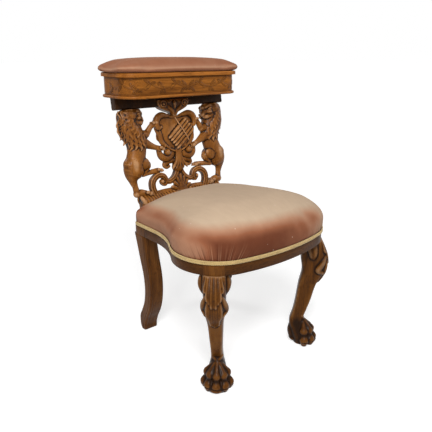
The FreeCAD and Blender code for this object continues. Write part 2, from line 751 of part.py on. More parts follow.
# Boards with round corners: a constrained sketch of the outline, padded to the board's thickness
def round_board(name, half_width, front, rear, radius, level, thickness):
    """Body from a sketch of a round-cornered rectangle; every size is a formula on the sheet."""
    body = doc.addObject("PartDesign::Body", name)
    sketch = body.newObject("Sketcher::SketchObject", name + "_outline")
    plane = [item for item in body.Origin.OriginFeatures if item.Role == "XY_Plane"][0]
    sketch.AttachmentSupport = (plane, [""])
    sketch.MapMode = "FlatFace"
    w, f, b, r = 200, 120, 290, 50
    corners = [(w - r, b - r, 0), (r - w, b - r, 1), (r - w, f + r, 2), (w - r, f + r, 3)]
    for x, y, quarter in corners:
        bend = Part.ArcOfCircle(Part.Circle(Vector(x, y, 0), Vector(0, 0, 1), r),
                                quarter * math.pi / 2, (quarter + 1) * math.pi / 2)
        sketch.addGeometry(bend)
    straights = [((w - r, b), (r - w, b)), ((-w, b - r), (-w, f + r)),
                 ((r - w, f), (w - r, f)), ((w, f + r), (w, b - r))]
    for a, c in straights:
        sketch.addGeometry(Part.LineSegment(Vector(*a, 0), Vector(*c, 0)))
    rule = Sketcher.Constraint
    for quarter in range(4):
        sketch.addConstraint(rule("Tangent", quarter, 2, 4 + quarter, 1))
        sketch.addConstraint(rule("Tangent", 4 + quarter, 2, (quarter + 1) % 4, 1))
    for quarter in range(1, 4):
        sketch.addConstraint(rule("Equal", 0, quarter))
    sketch.addConstraint(rule("Horizontal", 4))
    sketch.addConstraint(rule("Vertical", 5))
    sketch.addConstraint(rule("Vertical", 7))
    sketch.addConstraint(rule("Symmetric", 6, 1, 6, 2, -2))
    measures = [(rule("Radius", 0, r), radius), (rule("DistanceX", -1, 1, 7, 1, w), half_width),
                (rule("DistanceY", -1, 1, 6, 1, f), front), (rule("DistanceY", -1, 1, 4, 1, b), rear)]
    for constraint, formula in measures:
        place = sketch.addConstraint(constraint)
        sketch.setExpression("Constraints[%d]" % place, formula)
    pad = body.newObject("PartDesign::Pad", name + "_pad")
    pad.Profile = sketch
    pad.setExpression("Length", thickness)
    body.setExpression("Placement.Base.z", level)
    doc.recompute()
    return body


def rounded_edges(body, picked, radius):
    """Round the picked edges of a body's last feature."""
    last = body.Tip
    names = ["Edge%d" % (i + 1) for i, edge in enumerate(last.Shape.Edges) if picked(edge.BoundBox)]
    rounding = body.newObject("PartDesign::Fillet", body.Name + "_rounding")
    rounding.Base = (last, names)
    rounding.setExpression("Radius", radius)
    body.Tip = rounding
    doc.recompute()


# Formulas shared by the box, the lid and the hinges
box_base = "(sizes.rail_bottom + sizes.rail_height + sizes.back_height)"
wall_base = "(%s + sizes.box_bottom_thickness)" % box_base
rim = "(%s + sizes.box_wall_height)" % wall_base
lid_base = "(%s + sizes.lid_gap)" % rim
axis_y = "(sizes.box_rear - sizes.pin_inset)"
axis_z = "(%s + sizes.lid_gap / 2)" % rim
wall_run = "(sizes.box_half_width - sizes.box_corner_radius)"

# Box bottom: a board wider than the walls, its outer edge rounded
bottom_board = round_board("box_bottom_board", "sizes.box_half_width + sizes.bottom_overhang",
                           "sizes.box_front - sizes.bottom_overhang",
                           "sizes.box_rear + sizes.bottom_overhang",
                           "sizes.box_corner_radius + sizes.bottom_overhang", box_base,
                           "sizes.box_bottom_thickness")
rounded_edges(bottom_board, lambda b: b.ZLength < 0.01, "sizes.edge_rounding")
cut("box_bottom", bottom_board, box_screw_group)

# Box walls: a round-cornered ring parted into two rounded ends, and two boards tongued between them
wall_outer = round_board("wall_outer", "sizes.box_half_width", "sizes.box_front", "sizes.box_rear",
                         "sizes.box_corner_radius", wall_base, "sizes.box_wall_height")
wall_inner = round_board("wall_inner", "sizes.box_half_width - sizes.box_wall",
                         "sizes.box_front + sizes.box_wall", "sizes.box_rear - sizes.box_wall",
                         "sizes.box_corner_radius - sizes.box_wall", wall_base, "sizes.box_wall_height")
wall_ring = cut("wall_ring", wall_outer, wall_inner)


def wall_board(name, front):
    """Straight wall between the ends, with a tongue along each end."""
    board = primitive("Part::Box", name + "_board", ["-" + wall_run, front, wall_base],
                      Length="2 * " + wall_run, Width="sizes.box_wall", Height="sizes.box_wall_height")
    tongue_y = "%s + (sizes.box_wall - sizes.tongue_thickness) / 2" % front
    tongue_x = "-%s - sizes.tongue_length" % wall_run
    tongue = primitive("Part::Box", name + "_tongue", [tongue_x, tongue_y, wall_base],
                       Length="2 * (%s + sizes.tongue_length)" % wall_run,
                       Width="sizes.tongue_thickness", Height="sizes.box_wall_height")
    return fuse(name, [board, tongue])


front_whole = wall_board("box_front", "sizes.box_front")
back_whole = wall_board("back_blank", "(sizes.box_rear - sizes.box_wall)")
walls = fuse("walls_together", [front_whole, back_whole])

# Bevels behind the hinge line stop the open lid; the same line is the hinge pins' axis
across_all = "2 * sizes.box_half_width"
box_bevel = primitive("Part::Box", "box_bevel", ["-sizes.box_half_width", axis_y, axis_z],
                      (Vector(1, 0, 0), "-sizes.bevel_angle"), Length=across_all, Width="20", Height="20")
lid_bevel = primitive("Part::Box", "lid_bevel",
                      ["-sizes.box_half_width", axis_y + " + 20 * sin(sizes.bevel_angle * 1 deg)",
                       axis_z + " - 20 * cos(sizes.bevel_angle * 1 deg)"],
                      (Vector(1, 0, 0), "sizes.bevel_angle"), Length=across_all, Width="20", Height="20")

# Butt hinges: each leaf is a plate with its knuckles round the common pin
upright = (Vector(0, 1, 0), "90")


def rod(name, start, length, radius):
    """Cylinder along X on the hinge axis."""
    return primitive("Part::Cylinder", name, [start, axis_y, axis_z], upright, Height=length, Radius=radius)


box_leaves = []
lid_leaves = []
pins = []
box_hollows = []
lid_hollows = []
for hand, sign in (("left", "-1"), ("right", "1")):
    middle = "%s * sizes.hinge_offset" % sign
    start = "%s - sizes.hinge_length / 2" % middle
    inner_start = "%s - sizes.knuckle_length / 2" % middle
    inner_end = inner_start + " + sizes.knuckle_length"
    outer_length = "(sizes.hinge_length - sizes.knuckle_length) / 2 - sizes.knuckle_gap"
    leaf_y = axis_y + " - sizes.leaf_depth"
    low_z = axis_z + " - sizes.leaf_gap - sizes.leaf_thickness"
    high_z = axis_z + " + sizes.leaf_gap"
    plate = {"Length": "sizes.hinge_length", "Width": "sizes.leaf_depth", "Height": "sizes.leaf_thickness"}
    box_plate = primitive("Part::Box", hand + "_box_plate", [start, leaf_y, low_z], **plate)
    lid_plate = primitive("Part::Box", hand + "_lid_plate", [start, leaf_y, high_z], **plate)
    knuckle_a = rod(hand + "_knuckle_a", start, outer_length, "sizes.knuckle_radius")
    knuckle_b = rod(hand + "_knuckle_b", inner_end + " + sizes.knuckle_gap", outer_length,
                    "sizes.knuckle_radius")
    knuckle_c = rod(hand + "_knuckle_c", inner_start, "sizes.knuckle_length", "sizes.knuckle_radius")
    bore = rod(hand + "_bore", start + " - 1", "sizes.hinge_length + 2",
               "sizes.pin_radius + sizes.pin_clearance")
    clear_radius = "sizes.knuckle_radius + sizes.knuckle_gap"
    clear_length = outer_length + " + 1 + sizes.knuckle_gap"
    round_a = rod(hand + "_round_a", start + " - 1", clear_length, clear_radius)
    round_b = rod(hand + "_round_b", inner_end, clear_length, clear_radius)
    round_c = rod(hand + "_round_c", inner_start + " - sizes.knuckle_gap",
                  "sizes.knuckle_length + 2 * sizes.knuckle_gap", clear_radius)
    box_leaf = cut(hand + "_box_leaf", fuse(hand + "_box_leaf_whole", [box_plate, knuckle_a, knuckle_b]),
                   fuse(hand + "_box_leaf_hollow", [round_c, bore]))
    lid_leaf = cut(hand + "_lid_leaf", fuse(hand + "_lid_leaf_whole", [lid_plate, knuckle_c]),
                   fuse(hand + "_lid_leaf_hollow", [round_a, round_b, bore]))
    box_leaves.append(box_leaf)
    lid_leaves.append(lid_leaf)
    pins.append(rod(hand + "_pin", start, "sizes.hinge_length", "sizes.pin_radius"))
    seat_plate = {"Length": "sizes.hinge_length", "Width": "sizes.leaf_depth", "Height": "5"}
    box_hollows.append(primitive("Part::Box", hand + "_box_seat", [start, leaf_y, low_z], **seat_plate))
    lid_hollows.append(primitive("Part::Box", hand + "_lid_seat",
                                 [start, leaf_y, high_z + " + sizes.leaf_thickness - 5"], **seat_plate))
    notch = rod(hand + "_notch", start + " - sizes.knuckle_space",
                "sizes.hinge_length + 2 * sizes.knuckle_space",
                "sizes.knuckle_radius + sizes.knuckle_space")
    box_hollows.append(notch)
    lid_hollows.append(notch)
doc.recompute()

# Hinge screws, three to a leaf, flush in the plates
rim_z = box_level + size("box_bottom_thickness") + size("box_wall_height")
pin_z = rim_z + size("lid_gap") / 2
pin_y = size("box_rear") - size("pin_inset")
screw_y = pin_y - size("leaf_depth") + size("hinge_screw_head") + 0.8
hinge_screw_sizes = (size("hinge_screw_head"), size("hinge_screw_radius"), size("hinge_screw_length"))
box_side_screws = []
lid_side_screws = []
for side in (-1, 1):
    for step in (-1, 0, 1):
        x = side * size("hinge_offset") + step * size("hinge_screw_spacing")
        downward = Placement(Vector(x, screw_y, pin_z - size("leaf_gap")), Rotation())
        upward = Placement(Vector(x, screw_y, pin_z + size("leaf_gap")), Rotation(Vector(1, 0, 0), 180))
        box_side_screws.append(screw(*hinge_screw_sizes, downward))
        lid_side_screws.append(screw(*hinge_screw_sizes, upward))
hinge_box_screws = feature("hinge_box_screws", Part.makeCompound(box_side_screws))
hinge_lid_screws = feature("hinge_lid_screws", Part.makeCompound(lid_side_screws))


def group(label, parts):
    """One node of several like solids."""
    item = doc.addObject("Part::Compound", label)
    item.Links = parts


def drilled(leaves, screws):
    return [cut(leaf.Name + "_drilled", leaf, screws) for leaf in leaves]


group("hinge_box_leaves", drilled(box_leaves, hinge_box_screws))
group("hinge_lid_leaves", drilled(lid_leaves, hinge_lid_screws))
group("hinge_pins", pins)

# Finished walls: ends grooved for the tongues, bevelled with the back wall behind the hinge line
end_box = {"Length": "sizes.box_corner_radius + 1", "Width": "sizes.box_rear",
           "Height": "sizes.box_wall_height"}
left_start = "-sizes.box_half_width - 1"
left_select = primitive("Part::Box", "left_select", [left_start, "0", wall_base], **end_box)
right_select = primitive("Part::Box", "right_select", [wall_run, "0", wall_base], **end_box)
grooves = fuse("grooves", [walls, box_bevel])
cut("box_left_end", common("left_end_blank", wall_ring, left_select), grooves)
cut("box_right_end", common("right_end_blank", wall_ring, right_select), grooves)
back_hollow = fuse("back_hollow", box_hollows + [box_bevel, hinge_box_screws])
cut("box_back", back_whole, back_hollow)

# Lid board: overhangs the front and ends, flush at the back, its upper edge rounded
lid_blank = round_board("lid_blank", "sizes.box_half_width + sizes.lid_overhang",
                        "sizes.box_front - sizes.lid_overhang", "sizes.box_rear",
                        "sizes.lid_corner_radius", lid_base, "sizes.lid_thickness")
rounded_edges(lid_blank, lambda b: b.ZLength < 0.01 and b.ZMin > 1, "sizes.edge_rounding")
lid_hollow = fuse("lid_hollow", lid_hollows + [lid_bevel, hinge_lid_screws])
cut("lid_board", lid_blank, lid_hollow)
doc.recompute()

# Lid pad: swells a little past the lid board's edge, then crowns
lid_level = rim_z + size("lid_gap") + size("lid_thickness")
lid_half = size("box_half_width") + size("lid_overhang") - size("lid_pad_inset")
lid_front = size("box_front") - size("lid_overhang") + size("lid_pad_inset")
lid_rear = size("box_rear") - size("lid_pad_inset")
lid_corner = size("lid_corner_radius") - size("lid_pad_inset")


def lid_pad(shrink):
    """Loft of the lid pad drawn in by a thickness."""
    bulge = size("lid_pad_bulge")
    # share of the pad's height above the lid board, inset of the outline
    stations = [(0, 0), (0.13, -0.75 * bulge), (0.30, -bulge), (0.48, -0.5 * bulge), (0.67, 6),
                (0.82, 21), (0.94, 42), (1, 66)]
    centre = Placement(Vector(0, (lid_front + lid_rear) / 2, 0), Rotation(Vector(0, 0, 1), 90))
    wires = []
    for share, inset in stations:
        z = lid_level + share * (size("lid_pad_height") - shrink)
        inset += shrink
        half_depth = (lid_rear - lid_front) / 2 - inset
        radius = max(lid_corner - inset, 0.6 * half_depth)
        wires.append(level_section(centre, z, 0, half_depth, lid_half - inset, radius))
    return loft(wires)


feature("lid_stuffing", lid_pad(rebate))
feature("lid_cover", skin(lid_pad(0), lid_pad(cover_thickness)))
doc.recompute()

# Every piece that is handed over, by its node name
nodes = [
    "front_rail", "left_rail", "right_rail", "rear_rail",
    "front_left_leg", "front_right_leg", "rear_left_leg", "rear_right_leg",
    "corner_blocks", "block_screws", "webbing_across", "webbing_lengthwise",
    "seat_hessian", "seat_stuffing", "seat_cover", "seat_gimp",
    "back_base_rail", "left_lion", "right_lion", "shield_stem", "back_top_rail", "back_dowels",
    "box_bottom", "box_front", "box_back", "box_left_end", "box_right_end", "box_screws",
    "lid_board", "lid_stuffing", "lid_cover",
    "hinge_box_leaves", "hinge_lid_leaves", "hinge_pins", "hinge_box_screws", "hinge_lid_screws",
]
for item in doc.Objects:
    if "Invalid" in item.State or "Error" in item.State:
        raise RuntimeError("failed piece: " + item.Label)
os.makedirs("parts", exist_ok=True)
for label in nodes:
    shape = doc.getObject(label).Shape
    if shape.isNull() or not shape.isValid():
        raise RuntimeError("bad shape: " + label)
    shape.exportStep("parts/%s.step" % label)
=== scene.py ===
import bpy
import math
import numpy as np
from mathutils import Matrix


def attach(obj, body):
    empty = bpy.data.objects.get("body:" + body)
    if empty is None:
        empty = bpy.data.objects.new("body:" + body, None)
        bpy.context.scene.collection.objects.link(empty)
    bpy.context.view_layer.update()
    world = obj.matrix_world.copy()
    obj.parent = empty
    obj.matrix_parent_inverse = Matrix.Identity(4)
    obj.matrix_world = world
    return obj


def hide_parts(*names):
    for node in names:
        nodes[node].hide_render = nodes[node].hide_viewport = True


# Smoking chair in metres, with the chair's front towards -Y and the floor at Z = 0.
# Shapes are worked out in millimetres, as the joiner's drawing is, and put into meshes in metres.
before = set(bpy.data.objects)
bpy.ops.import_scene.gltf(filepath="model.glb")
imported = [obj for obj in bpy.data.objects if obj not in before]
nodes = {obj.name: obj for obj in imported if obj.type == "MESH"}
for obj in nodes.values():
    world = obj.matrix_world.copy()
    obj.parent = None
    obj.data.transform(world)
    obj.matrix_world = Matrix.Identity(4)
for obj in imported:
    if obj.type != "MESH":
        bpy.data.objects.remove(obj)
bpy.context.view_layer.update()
mm = 0.001


# Seat rails: walnut boards sawn to the seat's shaped plan and tenoned into the posts.
# Their polished faces show below the upholstery, with the grain along each rail.
seat_front = 290
bow_radius = 629
belly_radius = 125
belly_x = 118
waist_radius = 250
rear_half_width = 187
rear_corner = 40
frame_rear = 178
rail_bottom = 343
rail_top = 400
cover_edge = 375
rail_thickness = 26
rebate = 2.5
bow_y = bow_radius - seat_front
belly_y = bow_y - math.sqrt((bow_radius - belly_radius) ** 2 - belly_x ** 2)
bow_turn = math.asin(belly_x / (bow_radius - belly_radius))
waist_x = rear_half_width + waist_radius
waist_turn = math.acos((waist_x - belly_x) / (belly_radius + waist_radius))
waist_y = belly_y + (belly_radius + waist_radius) * math.sin(waist_turn)


def unit(rows):
    """Rows scaled to length one."""
    return rows / np.linalg.norm(rows, axis=1)[:, None]


def reach_along(line):
    """Distance from a line's first point to each of its points, along the line."""
    return np.concatenate([[0], np.cumsum(np.linalg.norm(np.diff(line, axis=0), axis=1))])


def full_turn(count):
    """Even angles once round a circle."""
    return np.linspace(0, 2 * math.pi, count, endpoint=False)


def arc_points(centre_x, centre_y, radius, start, end, count):
    """Points at even angles on a circle, from start to end."""
    turn = np.linspace(start, end, count, endpoint=False)
    return np.stack([centre_x + radius * np.cos(turn), centre_y + radius * np.sin(turn)], 1)


def seat_plan(inset, rear=frame_rear, corner=rear_corner):
    """Seat outline drawn in by an inset: rear corner, side, waist, belly and bow, then its mirror."""
    half = rear_half_width - inset
    corner = max(corner, 1)
    down = 1.5 * math.pi
    side_y = np.linspace(rear - corner, waist_y, 24, endpoint=False)
    half_line = [
        np.stack([np.linspace(0, corner - half, 60, endpoint=False), np.full(60, rear)], 1),
        arc_points(corner - half, rear - corner, corner, math.pi / 2, math.pi, 24),
        np.stack([np.full(24, -half), side_y], 1),
        arc_points(-waist_x, waist_y, waist_radius + inset, 0, -waist_turn, 80),
        arc_points(-belly_x, belly_y, belly_radius - inset, math.pi - waist_turn, down - bow_turn, 120),
        arc_points(0, bow_y, bow_radius - inset, down - bow_turn, down, 80),
    ]
    left = np.concatenate(half_line + [[[0, bow_y - bow_radius + inset]]])
    right = left[-2:0:-1] * [-1, 1]
    return np.concatenate([left, right])


outline = seat_plan(0)
outline_reach = reach_along(outline)


def at_level(plan, z):
    """Plan points as points in space, all at one level or each at its own."""
    return np.column_stack([plan, np.full(len(plan), z)])


def plan_place(x, y):
    """Place of the outline's point nearest to x, y, counted in outline points."""
    return int(np.argmin(np.hypot(outline[:, 0] - x, outline[:, 1] - y)))


def plan_run(inset, places, **rear):
    """Outline points at fractional places, drawn in by an inset."""
    plan = seat_plan(inset, **rear)
    closed = np.vstack([plan, plan[:1]])
    count = np.arange(len(closed))
    return np.stack([np.interp(places, count, closed[:, k]) for k in (0, 1)], 1)


def even_places(first, last, step):
    """Places between two outline points, spaced evenly along the outline."""
    reach = np.arange(outline_reach[first], outline_reach[last] + step / 2, step)
    reach[-1] = outline_reach[last]
    return np.interp(reach, outline_reach, np.arange(len(outline)))


def tube_faces(rows, sides):
    """Corners and starts of a closed tube's faces: quads between rings and a flat cap at each end."""
    ring = np.arange(sides)
    base = sides * np.arange(rows - 1)[:, None]
    near = base + ring
    far = base + (ring + 1) % sides
    quads = np.stack([near, far, far + sides, near + sides], 2).reshape(-1)
    corners = np.concatenate([quads, ring[::-1], ring + sides * (rows - 1)])
    starts = np.concatenate([np.arange(0, len(quads), 4), [len(quads), len(quads) + sides]])
    return corners, starts


def shell_mesh(name, shells):
    """Mesh of closed tubes, each an array of rings in millimetres, with its faces turned outwards."""
    points, corners, starts = [], [], []
    point_count = corner_count = 0
    for shell in shells:
        rows, sides = shell.shape[:2]
        shell_corners, shell_starts = tube_faces(rows, sides)
        points.append(shell.reshape(-1, 3))
        corners.append(shell_corners + point_count)
        starts.append(shell_starts + corner_count)
        point_count += rows * sides
        corner_count += len(shell_corners)
    mesh = bpy.data.meshes.new(name)
    mesh.vertices.add(point_count)
    mesh.vertices.foreach_set("co", (np.concatenate(points) * mm).astype(np.float32).ravel())
    mesh.loops.add(corner_count)
    mesh.loops.foreach_set("vertex_index", np.concatenate(corners).astype(np.int32))
    mesh.polygons.add(sum(len(s) for s in starts))
    mesh.polygons.foreach_set("loop_start", np.concatenate(starts).astype(np.int32))
    mesh.update(calc_edges=True)
    if mesh_volume(mesh) < 0:
        mesh.flip_normals()
    mesh.shade_smooth()
    return mesh


def mesh_points(mesh):
    """The mesh's points in metres, one row each."""
    points = np.zeros(3 * len(mesh.vertices), np.float32)
    mesh.vertices.foreach_get("co", points)
    return points.reshape(-1, 3).astype(float)


def set_points(mesh, points):
    """Moves the mesh's points, in metres."""
    mesh.vertices.foreach_set("co", points.astype(np.float32).ravel())
    mesh.update()


def mesh_volume(mesh):
    """Signed volume: a sixth of the summed triple products of its triangles."""
    mesh.calc_loop_triangles()
    corners = np.zeros(3 * len(mesh.loop_triangles), np.int32)
    mesh.loop_triangles.foreach_get("vertices", corners)
    a, b, c = mesh_points(mesh)[corners.reshape(-1, 3)].transpose(1, 0, 2)
    return float(np.sum(a * np.cross(b, c))) / 6


def store(mesh, name, values):
    """Keeps one number or vector for each point, as an attribute for the finish to read."""
    values = np.asarray(values, np.float32)
    kind, field = ("FLOAT", "value") if values.ndim == 1 else ("FLOAT_VECTOR", "vector")
    mesh.attributes.new(name, kind, "POINT").data.foreach_set(field, values.ravel())


def in_scene(name, data):
    """New object in the scene's own collection."""
    item = bpy.data.objects.new(name, data)
    bpy.context.scene.collection.objects.link(item)
    return item


def place_piece(mesh, material, replaced=(), body="chair"):
    """Visible piece, named as its mesh: its finish, the CAD nodes it stands for, the body it rides on."""
    piece = in_scene(mesh.name, mesh)
    mesh.materials.clear()
    mesh.materials.append(material)
    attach(piece, body)
    if replaced:
        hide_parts(*replaced)
    return piece


def feed(node, **inputs):
    """Links or values for a node's inputs, by name with underscores for spaces, or by number as i0, i1."""
    for field, value in inputs.items():
        field = int(field[1:]) if field[0] == "i" and field[1:].isdigit() else field.replace("_", " ")
        if isinstance(value, bpy.types.NodeSocket):
            node.id_data.links.new(value, node.inputs[field])
        else:
            node.inputs[field].default_value = value


def node_maker(tree):
    """Short way to add a node: its kind, its settings, then links or values for its inputs."""
    def add(kind, settings=(), **inputs):
        node = tree.nodes.new("ShaderNode" + kind)
        for field, value in dict(settings).items():
            setattr(node, field, value)
        feed(node, **inputs)
        return node
    return add


def new_material(name):
    """Empty material with a shader on its output, and the way to add nodes to it."""
    material = bpy.data.materials.new(name)
    material.use_nodes = True
    tree = material.node_tree
    tree.nodes.clear()
    add = node_maker(tree)
    shader = add("BsdfPrincipled")
    add("OutputMaterial", Surface=shader.outputs[0])
    return material, add, shader


def read_attribute(add, name, output="Fac"):
    """Socket with the piece's own attribute, as a number or as a vector."""
    return add("Attribute", {"attribute_name": name}).outputs[output]


def stretched_noise(add, place, scale, **settings):
    """Noise on a place stretched along its axes."""
    stretched = add("Mapping", Vector=place, Scale=scale).outputs[0]
    return add("TexNoise", Vector=stretched, Scale=1, **settings).outputs[0]


def ranged(add, value, low, high, start=0.0, end=1.0):
    """The value's way from low to high, drawn as the way from start to end and clamped."""
    return add("MapRange", Value=value, i1=low, i2=high, i3=start, i4=end).outputs[0]


def calculated(add, operation, first, second, third=0.5):
    """Socket with one sum of two values, or of three for a multiply and add."""
    return add("Math", {"operation": operation}, i0=first, i1=second, i2=third).outputs[0]


def mixed_colour(add, share, first, second, blend="MIX"):
    """Socket with the first colour blended with a share of the second."""
    return add("Mix", {"data_type": "RGBA", "blend_type": blend}, i0=share, i6=first, i7=second).outputs[2]


def mixed_value(add, share, first, second):
    """Socket with the first value moved by a share towards the second."""
    return add("Mix", {"data_type": "FLOAT"}, i0=share, i2=first, i3=second).outputs[0]


def grey(add, value):
    """Socket with a value as a grey colour."""
    return add("CombineColor", Red=value, Green=value, Blue=value).outputs[0]


def colour_ramp(add, value, stops):
    """Colour by value, through stops of position and colour."""
    ramp = add("ValToRGB", Fac=value)
    elements = ramp.color_ramp.elements
    elements[0].position, elements[1].position = stops[0][0], stops[-1][0]
    elements[0].color, elements[1].color = (*stops[0][1], 1), (*stops[-1][1], 1)
    for position, colour in stops[1:-1]:
        elements.new(position).color = (*colour, 1)
    return ramp.outputs[0]


def bumped(add, height, strength, distance):
    """Socket with the normal tipped by the slope of a height."""
    return add("Bump", Strength=strength, Distance=distance, Height=height).outputs[0]


# colours of walnut: the figure from dark to pale, golden crests of wear and painted highlight, a pale painted
# highlight, and wax darkened further as painted shade
walnut_dark = np.array([0.062, 0.0190, 0.0034])
walnut_middle = np.array([0.205, 0.069, 0.0105])
walnut_pale = np.array([0.370, 0.135, 0.022])
crest_wear_and_highlight = np.array([0.50, 0.205, 0.046])
painted_highlight_colour = np.array([0.66, 0.45, 0.28])
wax_and_painted_shade = (0.017, 0.0064, 0.0020, 1)


def walnut(name, grain="attribute", depth=1.0, carved=False, gloss=0.1):
    """Old waxed walnut: stretched noise for figure and fibres, dark pores, and on carving
    black wax and painted shade in the hollows, golden crests of wear and painted highlight, and a pale
    painted highlight on the highest crests, read from the piece's own hollow attribute."""
    material, add, shader = new_material(name)
    if grain == "attribute":
        place = read_attribute(add, "grain", "Vector")
    else:
        turn = {"x": (0, math.pi / 2, 0), "z": (0, 0, 0)}[grain]
        place = add("Mapping", Vector=add("TexCoord").outputs["Object"], Rotation=turn).outputs[0]
    figure = stretched_noise(add, place, (34, 34, 2.6), Detail=5, Roughness=0.6, Distortion=0.7)
    fibre = stretched_noise(add, place, (420, 420, 11), Detail=3, Roughness=0.65)
    mixed = mixed_value(add, 0.42, figure, fibre)
    stops = ((0.30, walnut_dark * depth), (0.5, walnut_middle * depth), (0.72, walnut_pale * depth))
    pores = stretched_noise(add, place, (900, 900, 32), Detail=1)
    pore_shade = grey(add, ranged(add, pores, 0.33, 0.42, 0.45, 1.0))
    tone = mixed_colour(add, 1.0, colour_ramp(add, mixed, stops), pore_shade, "MULTIPLY")
    height = fibre
    rough_low = 0.36
    if carved:
        hollow = read_attribute(add, "hollow")
        patch = stretched_noise(add, place, (60, 60, 40), Detail=4, Roughness=0.6)
        # golden crests: wear, lightened also as a painted highlight
        wear_and_highlight = calculated(add, "MULTIPLY", ranged(add, hollow, -0.18, -0.95, 0.0, 0.75),
                          ranged(add, patch, 0.30, 0.60, 0.25, 1.0))
        tone = mixed_colour(add, wear_and_highlight, tone, (*(crest_wear_and_highlight * depth), 1))
        # pale painted highlight on the highest crests
        painted_highlight = ranged(add, hollow, -0.65, -1.0, 0.0, 0.30)
        tone = mixed_colour(add, painted_highlight, tone, (*(painted_highlight_colour * depth), 1))
        # black wax in the hollows, darkened further as painted shade
        tone = mixed_colour(add, ranged(add, hollow, -0.10, 0.40, 0.0, 0.97), tone, wax_and_painted_shade)
        tool_marks = stretched_noise(add, place, (230, 230, 150), Detail=2, Roughness=0.5)
        height = calculated(add, "MULTIPLY_ADD", tool_marks, 0.7, fibre)
        rough_low = 0.21
    feed(shader, Base_Color=tone, Roughness=ranged(add, mixed, 0.3, 0.7, rough_low + 0.16, rough_low),
         Normal=bumped(add, height, 0.22, 0.0004), Coat_Weight=0.25 * gloss, Coat_Roughness=0.12,
         Specular_IOR_Level=0.02 + 0.6 * gloss)
    return material


def finish_node(node, material):
    """Puts a finish on a CAD node that stays in view."""
    nodes[node].data.materials.clear()
    nodes[node].data.materials.append(material)


def frame_board(first, last, depth):
    """Board of the seat frame: a rectangle with eased edges carried along the outline between two places.
    Returns its rings and, for each point, the distance along the board."""
    places = even_places(first, last, 3.0)
    soft = 1.6
    profile = [
        (soft, rail_bottom), (0.5 * soft, rail_bottom + 0.15 * soft), (0.15 * soft, rail_bottom + 0.5 * soft),
        (0, rail_bottom + soft), (0, 0.5 * (rail_bottom + cover_edge)), (0, cover_edge - 0.8),
        (0.5, cover_edge), (rebate, cover_edge), (rebate, rail_top - 1), (rebate + 1, rail_top),
        (depth - 1, rail_top), (depth, rail_top - 1), (depth, rail_bottom + 1), (depth - 1, rail_bottom),
    ]
    rings = []
    for inset, z in profile:
        plan = plan_run(inset, places, rear=frame_rear - inset, corner=rear_corner - inset)
        rings.append(at_level(plan, z))
    rings = np.stack(rings, 1)
    along = np.interp(places, np.arange(len(outline)), outline_reach)
    return rings, np.repeat(along, len(profile))


front_post_half = 27
rear_post_front = 100
rear_post_inner = 139
belly_turn = math.radians(45)
post_half_turn = math.asin(front_post_half / belly_radius)


def belly_place(side, turn):
    """Outline place on a belly corner, by its angle from the chair's side towards its front."""
    x = belly_x + belly_radius * math.cos(turn)
    return plan_place(side * x, belly_y - belly_radius * math.sin(turn))


def board_grain(rings, along, lengthwise):
    """Grain coordinates in metres, the third along the fibres: along the board, or upright in a post."""
    points = rings.reshape(-1, 3) * mm
    if lengthwise:
        return np.column_stack([points[:, 2], np.hypot(points[:, 0], points[:, 1]), along * mm])
    return points


rail_walnut = walnut("rail_walnut", depth=0.32)
side_rail_ends = (plan_place(-rear_half_width, rear_post_front), belly_place(-1, belly_turn - post_half_turn))
front_rail_ends = (belly_place(-1, belly_turn + post_half_turn), belly_place(1, belly_turn + post_half_turn))
rail_ends = {
    "left_rail": side_rail_ends,
    "front_rail": front_rail_ends,
    "right_rail": (belly_place(1, belly_turn - post_half_turn), plan_place(rear_half_width, rear_post_front)),
}
for node, ends in rail_ends.items():
    rings, along = frame_board(*ends, rail_thickness)
    board = shell_mesh(node + "_wood", [rings])
    store(board, "grain", board_grain(rings, along, True))
    place_piece(board, rail_walnut, [node])
finish_node("rear_rail", walnut("rear_rail_walnut", "x", 0.5))


# Front legs: cabriole legs, each cut with its post from one walnut block. Acanthus is carved over the knee,
# a scrolled ear stands at each side of it, and the foot is a lion's paw with five toes.
leg_reach = belly_radius - 27
leg_sway = 6
outward = np.array([-math.cos(belly_turn), -math.sin(belly_turn)])
sideways = np.array([-outward[1], outward[0]])
leg_axis = np.array([-belly_x, belly_y]) + leg_reach * outward


def flow(knots, count):
    """Smooth run through knots: cubic pieces, each knot's slope half the step between its neighbours."""
    knots = np.asarray(knots, float)
    slope = np.gradient(knots, axis=0)
    t = np.linspace(0, len(knots) - 1, count)
    i = np.minimum(t.astype(int), len(knots) - 2)
    f = (t - i)[:, None]
    near = (2 * f ** 3 - 3 * f ** 2 + 1) * knots[i] + (f ** 3 - 2 * f ** 2 + f) * slope[i]
    return near + (3 * f ** 2 - 2 * f ** 3) * knots[i + 1] + (f ** 3 - f ** 2) * slope[i + 1]


def rings_round(centre, across, toward, sides):
    """Ellipses round a path: the cosine of a turn along one half axis, its sine along the other."""
    turn = full_turn(sides)[:, None]
    return centre[:, None] + across[:, None] * np.cos(turn) + toward[:, None] * np.sin(turn)


def limb(knots, flat=1.0, facing=(0, -1, 0), count=24, sides=14):
    """Limb with round ends: ellipses carried along a smooth run of x, y, z and radius knots.
    flat is the half axis towards the facing direction, as a share of the radius."""
    run = flow(knots, count)
    path = run[:, :3]
    radius = np.maximum(run[:, 3], 0.4)
    along = unit(np.gradient(path, axis=0))
    cap = np.radians([8, 32, 56, 76])
    first = path[0] - along[0] * radius[0] * np.cos(cap)[:, None]
    last = path[-1] + along[-1] * radius[-1] * np.cos(cap[::-1])[:, None]
    centre = np.vstack([first, path, last])
    radius = np.concatenate([radius[0] * np.sin(cap), radius, radius[-1] * np.sin(cap[::-1])])
    along = np.vstack([np.repeat(along[:1], 4, 0), along, np.repeat(along[-1:], 4, 0)])
    across = np.cross(along, facing)
    across *= (radius / np.maximum(np.linalg.norm(across, axis=1), 1e-6))[:, None]
    return rings_round(centre, across, flat * np.cross(along, across), sides)


